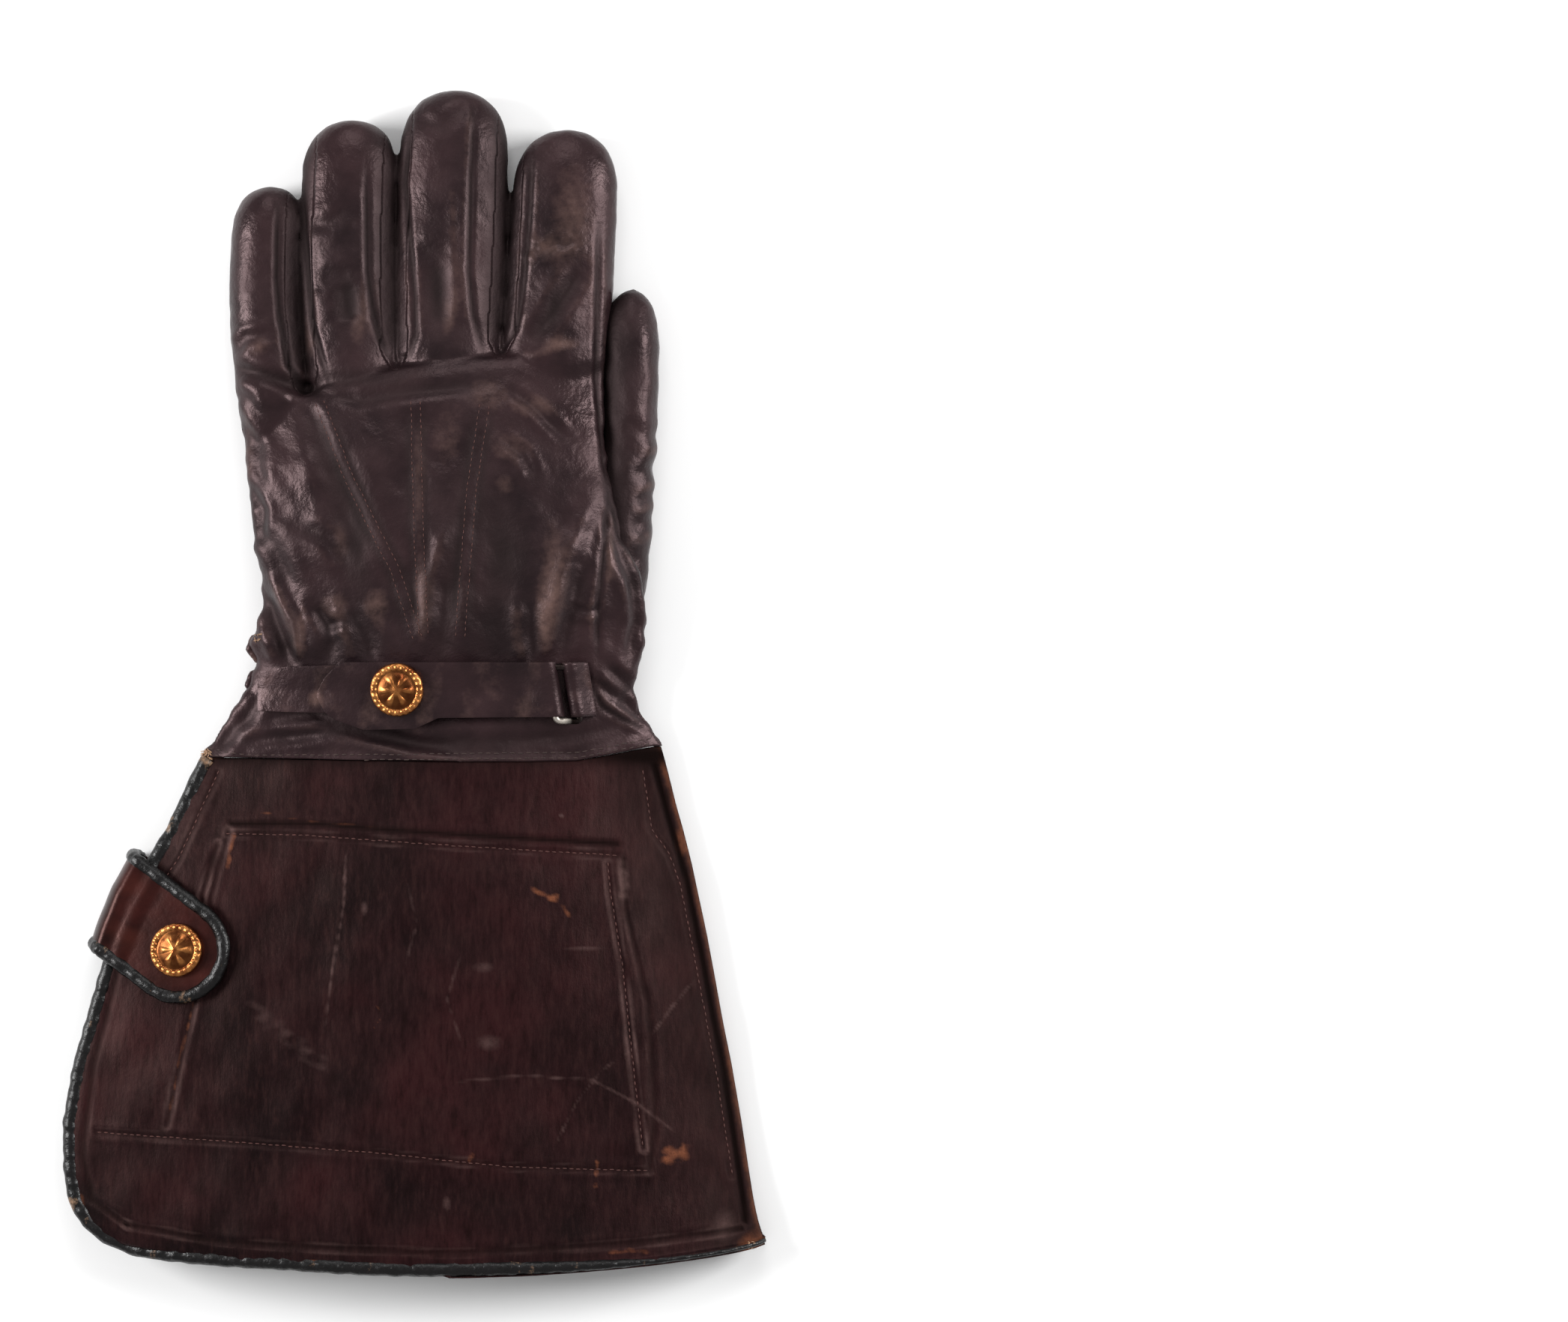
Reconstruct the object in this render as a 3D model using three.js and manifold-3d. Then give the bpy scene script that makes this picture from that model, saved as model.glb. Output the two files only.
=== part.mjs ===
// Leather gauntlet glove for a left hand, lying palm down.
// Millimetres: +X is the thumb's side, +Y the fingertips, +Z the back of the hand.
import * as THREE from 'three';
import { mergeVertices } from 'three/addons/utils/BufferGeometryUtils.js';
import Module from 'manifold-3d';

const wasm = await Module();
wasm.setup();

// Driving sizes
const handWall = 1.2;
const cuffWall = 2.2;
const seamGap = 0.3;
const rootAllowance = 1.5;
const palmWidth = 106;
const palmLength = 98;
const palmHeight = 26;
const knuckleDrop = 29;
const wristDrop = 22.5;
const wristHeight = 19;
const fingerHeight = 18;
const fingerRoot = 15;
const pinkyWidth = 21;
const pinkyLength = 64;
const ringWidth = 28.6;
const ringLength = 76;
const middleWidth = 32.6;
const middleLength = 80;
const indexWidth = 31.5;
const indexLength = 68;
const forkStrip = 3.6;
const forkDepth = 7;
const thumbWidth = 16;
const thumbLength = 100.7;
const thumbHeight = 15.5;
const tuckWidth = 2.8;
const tuckHeight = 0.9;
const strapWidth = 16.3;
const strapWall = 1.4;
const strapReach = 70;
const strapClear = 0.6;
const wireDiameter = 2;
const loopWidth = 7;
const chapeLength = 7;
const cuffLength = 155;
const mouthWidth = 211;
const mouthHeight = 25;
const mouthBow = 8.3;
const openSideHeight = 8;
const bindingWidth = 4.7;
const bindingLip = 1;
const bindingStart = 1.6;
const gussetWall = 1.2;
const gussetDepth = 26;
const gussetClear = 0.7;
const tabWidth = 32;
const tabWall = 1.8;
const tabFoot = 24;
const tabX = -70.2;
const tabY = -80.5;
const tabAngle = 144;
const tabLip = 0.7;
const tabRim = 4.2;
const tabRise = 3;
const tabBulge = 3.5;
const liftMargin = 13;
const liftFall = 14;
const snapDiameter = 16;
const snapHeight = 4.2;

// The hand's sections, from the cuff's seam to the knuckles. left and right are shares of palmWidth,
// along of palmLength (of wristDrop below the strap line), high of palmHeight (of wristHeight below it).
// midL and midR are the heights of the two side seams as shares of high, arc how far a section follows
// the knuckles, rise how much of the thumb's height the palm is tucked up at its thumb side.
const handRows = [
  { along: -1.000, left: -0.612, right: 0.700, high: 0.98, midL: 0.45, midR: 0.26, crown: 1.9, arc: 0, rise: 0 },
  { along: -0.720, left: -0.562, right: 0.672, high: 0.94, midL: 0.45, midR: 0.32, crown: 1.5, arc: 0, rise: 0 },
  { along: -0.420, left: -0.515, right: 0.636, high: 0.97, midL: 0.45, midR: 0.40, crown: 1.2, arc: 0, rise: 0 },
  { along: -0.130, left: -0.478, right: 0.620, high: 0.97, midL: 0.45, midR: 0.44, crown: 1.05, arc: 0, rise: 0 },
  { along: 0.030, left: -0.462, right: 0.628, high: 0.76, midL: 0.45, midR: 0.44, crown: 1.0, arc: 0, rise: 0 },
  { along: 0.065, left: -0.452, right: 0.642, high: 0.78, midL: 0.45, midR: 0.44, crown: 1.0, arc: 0, rise: 0 },
  { along: 0.112, left: -0.474, right: 0.652, high: 0.83, midL: 0.45, midR: 0.44, crown: 1.0, arc: 0, rise: 0.1 },
  { along: 0.160, left: -0.444, right: 0.657, high: 0.87, midL: 0.45, midR: 0.45, crown: 0.95, arc: 0, rise: 0.2 },
  { along: 0.245, left: -0.431, right: 0.655, high: 0.93, midL: 0.45, midR: 0.48, crown: 0.92, arc: 0.05, rise: 0.4 },
  { along: 0.335, left: -0.433, right: 0.636, high: 0.97, midL: 0.45, midR: 0.54, crown: 0.9, arc: 0.1, rise: 0.6 },
  { along: 0.435, left: -0.450, right: 0.598, high: 1.00, midL: 0.45, midR: 0.58, crown: 0.88, arc: 0.2, rise: 0.78 },
  { along: 0.575, left: -0.460, right: 0.566, high: 1.00, midL: 0.44, midR: 0.58, crown: 0.86, arc: 0.35, rise: 0.7 },
  { along: 0.735, left: -0.474, right: 0.538, high: 0.97, midL: 0.44, midR: 0.54, crown: 0.84, arc: 0.6, rise: 0.5 },
  { along: 0.880, left: -0.482, right: 0.534, high: 0.88, midL: 0.43, midR: 0.46, crown: 0.86, arc: 0.9, rise: 0.2 },
  { along: 0.960, left: -0.488, right: 0.536, high: 0.76, midL: 0.45, midR: 0.46, crown: 0.9, arc: 1, rise: 0 },
  { along: 0.990, left: -0.480, right: 0.522, high: 0.66, midL: 0.52, midR: 0.52, crown: 0.95, arc: 1, rise: 0 },
  { along: 1.000, left: -0.440, right: 0.480, high: 0.50, midL: 0.68, midR: 0.68, crown: 1, arc: 1, rise: 0 },
];
const knuckleX = 0.3;
const tuckedFrom = 0.28;
const handSides = 24;
const fingerSides = 10;
const liningSides = 0.66;

// The fingers: root is the middle of the finger where it leaves the palm, lean how far its tip and bow
// how far its middle stand aside, as shares of its width.
const fingers = [
  { name: 'pinky', width: pinkyWidth, length: pinkyLength, rootX: -0.402, rootY: 0.862, lean: -0.03, bow: -0.11 },
  { name: 'ring', width: ringWidth, length: ringLength, rootX: -0.172, rootY: 0.944, lean: -0.02, bow: -0.07 },
  { name: 'middle', width: middleWidth, length: middleLength, rootX: 0.089, rootY: 0.995, lean: 0.08, bow: 0.01 },
  { name: 'index', width: indexWidth, length: indexLength, rootX: 0.394, rootY: 0.995, lean: 0.125, bow: 0.02 },
];
// Width and height along a finger, as shares of its width and of fingerHeight, up to its rounded tip.
const fingerRows = [
  { along: 0.00, wide: 0.86, high: 0.96 },
  { along: 0.25, wide: 0.92, high: 0.98 },
  { along: 0.50, wide: 1.00, high: 1.00 },
  { along: 0.75, wide: 1.00, high: 0.98 },
];
const tipShare = 0.62;
const tipSteps = [0.25, 0.5, 0.75, 0.92, 1];

// The thumb, from its root in the palm to its tip: left and right from the thumb's right edge line,
// as shares of thumbWidth, high of thumbHeight.
const thumbRows = [
  { along: 0.00, left: -1.35, right: -0.42, high: 0.86 },
  { along: 0.10, left: -1.50, right: -0.24, high: 0.98 },
  { along: 0.22, left: -1.45, right: -0.16, high: 1.02 },
  { along: 0.38, left: -1.32, right: -0.10, high: 1.02 },
  { along: 0.54, left: -1.08, right: -0.04, high: 1.00 },
  { along: 0.72, left: -0.98, right: 0.00, high: 1.00 },
  { along: 0.84, left: -0.99, right: 0.00, high: 0.98 },
  { along: 0.90, left: -0.97, right: -0.03, high: 0.94 },
  { along: 0.95, left: -0.90, right: -0.12, high: 0.84 },
  { along: 0.98, left: -0.80, right: -0.26, high: 0.70 },
  { along: 1.00, left: -0.62, right: -0.40, high: 0.52 },
];
const thumbEdge = 0.693;
const thumbRoot = 0.175;

// Folds in the back of the hand, as shares of palmWidth and palmLength from x0, y0 to x1, y1.
// wide is a share of palmWidth, depth of palmHeight; a negative depth is a ridge.
const handFolds = [
  { x0: -0.50, y0: 0.84, x1: -0.25, y1: 0.86, wide: 0.040, depth: 0.055 },
  { x0: -0.25, y0: 0.86, x1: 0.21, y1: 0.90, wide: 0.040, depth: 0.045 },
  { x0: 0.06, y0: 0.62, x1: 0.02, y1: 0.14, wide: 0.050, depth: 0.045 },
  { x0: -0.33, y0: 0.30, x1: -0.31, y1: 0.08, wide: 0.040, depth: 0.055 },
  { x0: -0.43, y0: 0.26, x1: -0.39, y1: 0.10, wide: 0.030, depth: 0.045 },
  { x0: 0.50, y0: 0.52, x1: 0.40, y1: 0.10, wide: 0.040, depth: -0.040 },
  { x0: 0.33, y0: 0.80, x1: 0.43, y1: 0.68, wide: 0.035, depth: 0.045 },
  { x0: 0.26, y0: 0.60, x1: 0.33, y1: 0.10, wide: 0.050, depth: 0.045 },
];

// The three stitched tucks, as shares of palmWidth and palmLength.
const tucks = [
  { x0: -0.262, y0: 0.83, x1: -0.047, y1: 0.34, x2: 0.013, y2: 0.15 },
  { x0: 0.010, y0: 0.86, x1: 0.022, y1: 0.50, x2: 0.034, y2: 0.15 },
  { x0: 0.204, y0: 0.85, x1: 0.170, y1: 0.58, x2: 0.136, y2: 0.15 },
];

// The cuff's outline from the seam to the mouth: along is a share of cuffLength, left and right of
// mouthWidth, high of mouthHeight, crown how flat its arch is, bow how far a row follows the mouth.
const cuffRows = [
  { along: 0.000, left: -0.306, right: 0.350, high: 0.745, crown: 0.95, bow: 0 },
  { along: 0.070, left: -0.330, right: 0.366, high: 0.80, crown: 0.92, bow: 0 },
  { along: 0.140, left: -0.353, right: 0.381, high: 0.86, crown: 0.88, bow: 0 },
  { along: 0.210, left: -0.384, right: 0.394, high: 0.91, crown: 0.85, bow: 0 },
  { along: 0.280, left: -0.412, right: 0.405, high: 0.95, crown: 0.82, bow: 0 },
  { along: 0.350, left: -0.432, right: 0.416, high: 0.97, crown: 0.8, bow: 0 },
  { along: 0.430, left: -0.450, right: 0.427, high: 0.99, crown: 0.78, bow: 0 },
  { along: 0.520, left: -0.469, right: 0.439, high: 1.00, crown: 0.76, bow: 0 },
  { along: 0.600, left: -0.486, right: 0.451, high: 1.00, crown: 0.75, bow: 0.1 },
  { along: 0.710, left: -0.500, right: 0.465, high: 1.00, crown: 0.75, bow: 0.3 },
  { along: 0.800, left: -0.499, right: 0.475, high: 1.00, crown: 0.75, bow: 0.55 },
  { along: 0.860, left: -0.492, right: 0.482, high: 1.00, crown: 0.75, bow: 0.72 },
  { along: 0.900, left: -0.474, right: 0.488, high: 1.00, crown: 0.75, bow: 0.85 },
  { along: 0.928, left: -0.449, right: 0.494, high: 1.00, crown: 0.75, bow: 0.94 },
  { along: 0.946, left: -0.420, right: 0.500, high: 1.00, crown: 0.75, bow: 1 },
];
// Soft dents in the cuff's upper panel: x is a share of mouthWidth, along of cuffLength,
// wide of mouthWidth, depth of mouthHeight.
const cuffDents = [
  { x: -0.20, along: 0.30, wide: 0.10, depth: 0.05 },
  { x: 0.22, along: 0.62, wide: 0.12, depth: 0.05 },
  { x: -0.05, along: 0.80, wide: 0.10, depth: -0.04 },
];

// The strap's edges along its two layers, as shares of strapWidth from its middle line.
const strapRows = [
  { layer: 'lower', at: 0.00, low: -0.40, high: 0.32 },
  { layer: 'lower', at: 0.10, low: -0.42, high: 0.42 },
  { layer: 'lower', at: 0.55, low: -0.46, high: 0.48 },
  { layer: 'lower', at: 1.00, low: -0.50, high: 0.50 },
  { layer: 'upper', at: 1.00, low: -0.50, high: 0.50 },
  { layer: 'upper', at: 0.62, low: -0.50, high: 0.50 },
  { layer: 'upper', at: 0.42, low: -0.72, high: 0.50 },
  { layer: 'upper', at: 0.20, low: -0.74, high: 0.50 },
  { layer: 'upper', at: 0.05, low: -0.50, high: 0.34 },
  { layer: 'upper', at: 0.00, low: -0.16, high: -0.04 },
];
const strapMiddle = -0.16;
const strapStart = -0.44;
const loopPlace = 0.4245;

const sliver = 0.05;
const lerp = THREE.MathUtils.lerp;
const smooth = (value) => THREE.MathUtils.smoothstep(value, 0, 1);

// Reads a table at a share along it, with every number worked out between its two rows.
function rowAt(rows, key, value) {
  const last = rows.length - 1;
  const found = rows.findIndex((row) => row[key] > value);
  const next = Math.min(Math.max(found < 0 ? last : found, 1), last);
  const from = rows[next - 1];
  const to = rows[next];
  const share = (value - from[key]) / (to[key] - from[key]);
  const mixed = {};
  for (const name of Object.keys(from)) {
    if (typeof from[name] === 'number') mixed[name] = lerp(from[name], to[name], share);
  }
  return mixed;
}

// A closed geometry from a list of points and of triangles.
function closedGeometry(points, triangles) {
  const geometry = new THREE.BufferGeometry();
  geometry.setAttribute('position', new THREE.Float32BufferAttribute(points.flat(), 3));
  geometry.setIndex(triangles.flat());
  return geometry;
}

// A body between an upper and a lower face, each a grid of points over two shares from 0 to 1.
function sheet(alongSteps, acrossSteps, upper, lower) {
  const points = [];
  const triangles = [];
  const index = (face, i, j) => (face * (alongSteps + 1) + i) * (acrossSteps + 1) + j;
  for (const face of [upper, lower]) {
    for (let i = 0; i <= alongSteps; i += 1) {
      for (let j = 0; j <= acrossSteps; j += 1) points.push(face(i / alongSteps, j / acrossSteps));
    }
  }
  const quad = (a, b, c, d) => triangles.push([a, b, c], [a, c, d]);
  for (let i = 0; i < alongSteps; i += 1) {
    for (let j = 0; j < acrossSteps; j += 1) {
      quad(index(0, i, j), index(0, i + 1, j), index(0, i + 1, j + 1), index(0, i, j + 1));
      quad(index(1, i, j), index(1, i, j + 1), index(1, i + 1, j + 1), index(1, i + 1, j));
    }
  }
  for (let i = 0; i < alongSteps; i += 1) {
    const last = acrossSteps;
    quad(index(0, i, 0), index(1, i, 0), index(1, i + 1, 0), index(0, i + 1, 0));
    quad(index(0, i, last), index(0, i + 1, last), index(1, i + 1, last), index(1, i, last));
  }
  for (let j = 0; j < acrossSteps; j += 1) {
    const last = alongSteps;
    quad(index(0, 0, j), index(0, 0, j + 1), index(1, 0, j + 1), index(1, 0, j));
    quad(index(0, last, j), index(1, last, j), index(1, last, j + 1), index(0, last, j + 1));
  }
  return faceOut(closedGeometry(points, triangles));
}

// A body through rings of points, closed by a fan at each end, or joined end to end when round is set.
function loft(rings, round = false) {
  const sides = rings[0].length;
  const points = rings.flat();
  const triangles = [];
  const bands = round ? rings.length : rings.length - 1;
  for (let i = 0; i < bands; i += 1) {
    const near = i * sides;
    const far = ((i + 1) % rings.length) * sides;
    for (let j = 0; j < sides; j += 1) {
      const next = (j + 1) % sides;
      triangles.push([near + j, near + next, far + next], [near + j, far + next, far + j]);
    }
  }
  if (!round) {
    for (const [ring, start] of [[rings[0], 0], [rings.at(-1), (rings.length - 1) * sides]]) {
      const middle = [0, 1, 2].map((axis) => ring.reduce((sum, point) => sum + point[axis], 0) / sides);
      const centre = points.push(middle) - 1;
      for (let j = 0; j < sides; j += 1) {
        const edge = [start + j, start + ((j + 1) % sides)];
        triangles.push(start === 0 ? [centre, edge[1], edge[0]] : [centre, edge[0], edge[1]]);
      }
    }
  }
  return faceOut(closedGeometry(points, triangles));
}

// Turns a closed geometry's faces outwards.
function faceOut(geometry) {
  const place = geometry.attributes.position;
  const index = geometry.index;
  const corner = [new THREE.Vector3(), new THREE.Vector3(), new THREE.Vector3()];
  let volume = 0;
  for (let i = 0; i < index.count; i += 3) {
    corner.forEach((point, k) => point.fromBufferAttribute(place, index.getX(i + k)));
    volume += corner[0].dot(corner[1].clone().cross(corner[2]));
  }
  if (volume < 0) {
    for (let i = 0; i < index.count; i += 3) {
      const second = index.getX(i + 1);
      index.setX(i + 1, index.getX(i + 2));
      index.setX(i + 2, second);
    }
  }
  return geometry;
}

function toSolid(geometry) {
  const bare = geometry.clone();
  bare.deleteAttribute('normal');
  bare.deleteAttribute('uv');
  const merged = mergeVertices(bare, 0.0001);
  return new wasm.Manifold(new wasm.Mesh({
    numProp: 3,
    vertProperties: new Float32Array(merged.attributes.position.array),
    triVerts: new Uint32Array(merged.index.array),
  }));
}

// The largest body of a cut solid, without the slivers that a cut can leave.
function toGeometry(solid) {
  const bodies = solid.simplify(sliver).decompose();
  bodies.sort((a, b) => b.volume() - a.volume());
  const mesh = bodies[0].getMesh();
  const geometry = new THREE.BufferGeometry();
  geometry.setAttribute('position', new THREE.BufferAttribute(new Float32Array(mesh.vertProperties), 3));
  geometry.setIndex(new THREE.BufferAttribute(new Uint32Array(mesh.triVerts), 1));
  return geometry;
}

const group = new THREE.Group();

function addPiece(name, geometry, material) {
  const mesh = new THREE.Mesh(geometry, material);
  mesh.name = name;
  group.add(mesh);
}

const gloveLeather = new THREE.MeshStandardMaterial({ color: 0x3b2d30, roughness: 0.42, metalness: 0 });
const cuffLeather = new THREE.MeshStandardMaterial({ color: 0x3a2321, roughness: 0.5, metalness: 0 });
const bindingLeather = new THREE.MeshStandardMaterial({ color: 0x1f1e1f, roughness: 0.4, metalness: 0 });
const brass = new THREE.MeshStandardMaterial({ color: 0xc8893a, roughness: 0.3, metalness: 1 });
const steel = new THREE.MeshStandardMaterial({ color: 0xb8b6b0, roughness: 0.3, metalness: 1 });

// The hand

const handSections = handRows.map((row) => ({
  y: row.along * (row.along < 0 ? wristDrop : palmLength),
  left: row.left * palmWidth,
  right: row.right * palmWidth,
  high: row.high * (row.along < 0 ? wristHeight : palmHeight),
  midL: row.midL * row.high * (row.along < 0 ? wristHeight : palmHeight),
  midR: row.midR * row.high * (row.along < 0 ? wristHeight : palmHeight),
  crown: row.crown,
  arc: row.arc,
  rise: row.rise * thumbHeight,
}));

function knuckleArc(x) {
  return -knuckleDrop * (x / palmWidth - knuckleX) ** 2;
}

function foldDepth(x, y) {
  let depth = 0;
  for (const fold of handFolds) {
    const start = new THREE.Vector2(fold.x0 * palmWidth, fold.y0 * palmLength);
    const run = new THREE.Vector2(fold.x1 * palmWidth, fold.y1 * palmLength).sub(start);
    const offset = new THREE.Vector2(x, y).sub(start);
    const share = THREE.MathUtils.clamp(offset.dot(run) / run.lengthSq(), 0, 1);
    const away = offset.sub(run.multiplyScalar(share)).length() / (fold.wide * palmWidth);
    depth += fold.depth * palmHeight * Math.exp(-away * away);
  }
  return depth;
}

// The height of the palm's underside, which is tucked up where the thumb lies under it.
function underside(section, x) {
  const from = tuckedFrom * palmWidth;
  return section.rise * smooth((x - from) / (section.right - from));
}

function handHeightAt(section, x, y, side, inset) {
  const half = (section.right - section.left) / 2 - inset;
  const share = THREE.MathUtils.clamp((x - (section.left + section.right) / 2) / half, -1, 1);
  const middle = lerp(section.midL, section.midR, (share + 1) / 2);
  const round = Math.sqrt(1 - share * share);
  if (side > 0) {
    const crest = middle + (section.high - inset - middle) * round ** section.crown;
    return crest - foldDepth(x, y) * round;
  }
  const bed = underside(section, x) + inset;
  return middle - (middle - bed) * round ** 0.45;
}

// The inner faces of the walls take fewer sides than the outer ones.
function sidesFor(sides, inset) {
  return inset > 0 ? Math.round(sides * liningSides) : sides;
}

function handRing(section, inset) {
  const half = (section.right - section.left) / 2 - inset;
  const sides = sidesFor(handSides, inset);
  const ring = [];
  for (let i = 0; i < sides; i += 1) {
    const angle = (i / sides) * 2 * Math.PI;
    const x = (section.left + section.right) / 2 + half * Math.cos(angle);
    const y = section.y + section.arc * knuckleArc(x);
    ring.push([x, y, handHeightAt(section, x, y, Math.sin(angle), inset)]);
  }
  return ring;
}

function handSectionAt(x, y) {
  const placed = handSections.map((section) => ({ ...section, placeY: section.y + section.arc * knuckleArc(x) }));
  return rowAt(placed, 'placeY', y);
}

function handTop(x, y) {
  return handHeightAt(handSectionAt(x, y), x, y, 1, 0);
}

function handSeamHeight(x, y) {
  const section = handSectionAt(x, Math.min(y, palmLength * 0.95 + knuckleArc(x)));
  const share = THREE.MathUtils.clamp((x - section.left) / (section.right - section.left), 0, 1);
  return lerp(section.midL, section.midR, share);
}

function handBody(inset) {
  const rings = handSections.map((section, i) => {
    const end = i === handSections.length - 1 ? -inset : 0;
    return handRing({ ...section, y: section.y + end }, inset);
  });
  if (inset > 0) {
    const mouth = handSections[0];
    rings.unshift(handRing({ ...mouth, y: mouth.y - wristDrop }, inset));
  }
  return toSolid(loft(rings));
}

// The fingers

function fingerAxis(finger, y) {
  const share = (y - finger.rootY * palmLength) / finger.length;
  const bow = finger.bow * Math.sin(Math.PI * THREE.MathUtils.clamp(share, 0, 1));
  return finger.rootX * palmWidth + (finger.lean * Math.max(share, 0) + bow) * finger.width;
}

function fingerBody(finger, inset) {
  const tip = tipShare * finger.width;
  const rows = fingerRows.map((row) => ({
    y: lerp(-fingerRoot, finger.length - tip, row.along),
    wide: row.wide,
    high: row.high,
  }));
  for (const step of tipSteps) {
    const round = Math.max(1 - step ** 2.3, 0.012) ** (1 / 2.3);
    rows.push({ y: finger.length - tip + step * (tip - inset), wide: round, high: lerp(0.55, 0.98, round) });
  }
  const rings = rows.map((row) => {
    const y = finger.rootY * palmLength + row.y;
    const half = Math.max(row.wide * finger.width / 2 - inset, handWall / 2);
    const middle = fingerHeight * 0.48;
    const top = row.high * fingerHeight - inset;
    const ring = [];
    const sides = sidesFor(fingerSides, inset);
    for (let i = 0; i < sides; i += 1) {
      const angle = (i / sides) * 2 * Math.PI;
      const lift = Math.abs(Math.sin(angle));
      const flat = lerp(middle, inset, Math.min(row.wide * 1.6, 1));
      const z = Math.sin(angle) > 0 ? middle + (top - middle) * lift ** 0.95 : middle - (middle - flat) * lift ** 0.6;
      ring.push([fingerAxis(finger, y) + half * Math.cos(angle), y, z]);
    }
    return ring;
  });
  return toSolid(loft(rings));
}

// The strip between two fingers: from the crotch to near the tips, open to the back of the hand.
function forkCutter(near, far, grow) {
  const foot = Math.min(near.rootY, far.rootY) * palmLength - forkDepth - grow;
  const head = Math.max(near.rootY * palmLength + near.length, far.rootY * palmLength + far.length) + grow;
  const place = (u, v, z) => {
    const y = lerp(foot, head, u);
    const open = smooth((y - foot) / (forkDepth * 2));
    const nearSide = fingerAxis(near, y) + near.width / 2;
    const farSide = fingerAxis(far, y) - far.width / 2;
    const middle = (nearSide + farSide) / 2;
    const left = lerp(middle - forkStrip * 0.3, nearSide - forkStrip, open) - grow;
    const right = lerp(middle + forkStrip * 0.3, farSide + forkStrip, open) + grow;
    return [lerp(left, right, v), y, z];
  };
  const high = palmHeight * 1.5;
  const low = fingerHeight * 0.16 - grow;
  return toSolid(sheet(8, 1, (u, v) => place(u, v, high), (u, v) => place(u, v, low)));
}

// The thumb

function thumbBody(inset) {
  const edge = thumbEdge * palmWidth;
  const rings = thumbRows.map((row, i) => {
    const end = i === thumbRows.length - 1 ? -inset : 0;
    const y = thumbRoot * palmLength + row.along * thumbLength + end;
    const left = edge + row.left * thumbWidth + inset;
    const right = edge + row.right * thumbWidth - inset;
    const top = row.high * thumbHeight - inset;
    const middle = thumbHeight * 0.48;
    const flat = lerp(middle, Math.max(inset, 0), Math.min((right - left) / thumbWidth * 1.8, 1));
    const ring = [];
    const sides = sidesFor(fingerSides, inset);
    for (let k = 0; k < sides; k += 1) {
      const angle = (k / sides) * 2 * Math.PI;
      const lift = Math.abs(Math.sin(angle));
      const z = Math.sin(angle) > 0 ? middle + (top - middle) * lift : middle - (middle - flat) * lift ** 0.6;
      ring.push([(left + right) / 2 + (Math.max(right - left, handWall) / 2) * Math.cos(angle), y, z]);
    }
    return ring;
  });
  return toSolid(loft(rings));
}

// Everything above the side seams, from a little over them.
function aboveSeam(lift) {
  const low = -palmWidth;
  const x = (v) => lerp(low, palmWidth, v);
  const y = (u) => lerp(-2 * wristDrop, palmLength + middleLength * 1.2, u);
  const upper = (u, v) => [x(v), y(u), palmHeight * 2];
  const lower = (u, v) => [x(v), y(u), handSeamHeight(x(v), y(u)) + lift];
  return toSolid(sheet(14, 4, upper, lower));
}

const handOuter = fingers.reduce((body, finger) => body.add(fingerBody(finger, 0)), handBody(0));
const handInner = fingers.reduce((body, finger) => body.add(fingerBody(finger, handWall)), handBody(handWall));
const thumbHole = thumbBody(-seamGap);
const handShell = handOuter.subtract(handInner).subtract(thumbHole);
const thumbShell = thumbBody(0).subtract(thumbBody(handWall)).subtract(handInner);

const forks = [];
let wideForks = null;
for (let i = 0; i + 1 < fingers.length; i += 1) {
  const name = `fork_${fingers[i].name}_${fingers[i + 1].name}`;
  forks.push({ name, solid: handShell.intersect(forkCutter(fingers[i], fingers[i + 1], 0)) });
  const wide = forkCutter(fingers[i], fingers[i + 1], seamGap);
  wideForks = wideForks ? wideForks.add(wide) : wide;
}

// A stitched tuck, a low ridge that is one with the leather under it.
function tuckBody(tuck) {
  const path = new THREE.CatmullRomCurve3([0, 1, 2].map((k) => (
    new THREE.Vector3(tuck[`x${k}`] * palmWidth, tuck[`y${k}`] * palmLength, 0)
  )));
  const place = (u, v, lift) => {
    const point = path.getPoint(u);
    const x = point.x + (v - 0.5) * tuckWidth;
    return [x, point.y, handTop(x, point.y) + lift];
  };
  const crest = (u, v) => tuckHeight * Math.sin(Math.PI * v) * Math.min(1, 6 * u, 6 * (1 - u));
  const upper = (u, v) => place(u, v, Math.max(crest(u, v), 0));
  return toSolid(sheet(8, 2, upper, (u, v) => place(u, v, -handWall / 2)));
}

const backShell = handShell.intersect(aboveSeam(seamGap / 2)).subtract(wideForks);
const back = tucks.reduce((body, tuck) => body.add(tuckBody(tuck)), backShell);
const palmSide = handShell.subtract(aboveSeam(-seamGap / 2)).subtract(wideForks);

// The slot across a finger's root, between the palm and the front of that finger.
function rootSlot(i) {
  const finger = fingers[i];
  const side = (other, sign) => {
    if (!other) return sign * palmWidth;
    const own = finger.rootX * palmWidth + (sign * finger.width) / 2;
    return (own + other.rootX * palmWidth - (sign * other.width) / 2) / 2;
  };
  const left = side(fingers[i - 1], -1);
  const right = side(fingers[i + 1], 1);
  const nearest = THREE.MathUtils.clamp(knuckleX * palmWidth, left, right);
  const y = palmLength + knuckleArc(nearest) + rootAllowance;
  const place = (u, v, z) => [lerp(left, right, v), lerp(y, y + seamGap, u), z];
  return toSolid(sheet(1, 1, (u, v) => place(u, v, palmHeight), (u, v) => place(u, v, -handWall)));
}

const slots = fingers.map((finger, i) => rootSlot(i)).reduce((all, slot) => all.add(slot));
const partedPalm = palmSide.subtract(slots);
const fronts = partedPalm.decompose().filter((body) => body.boundingBox().min[1] > 0);

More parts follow.
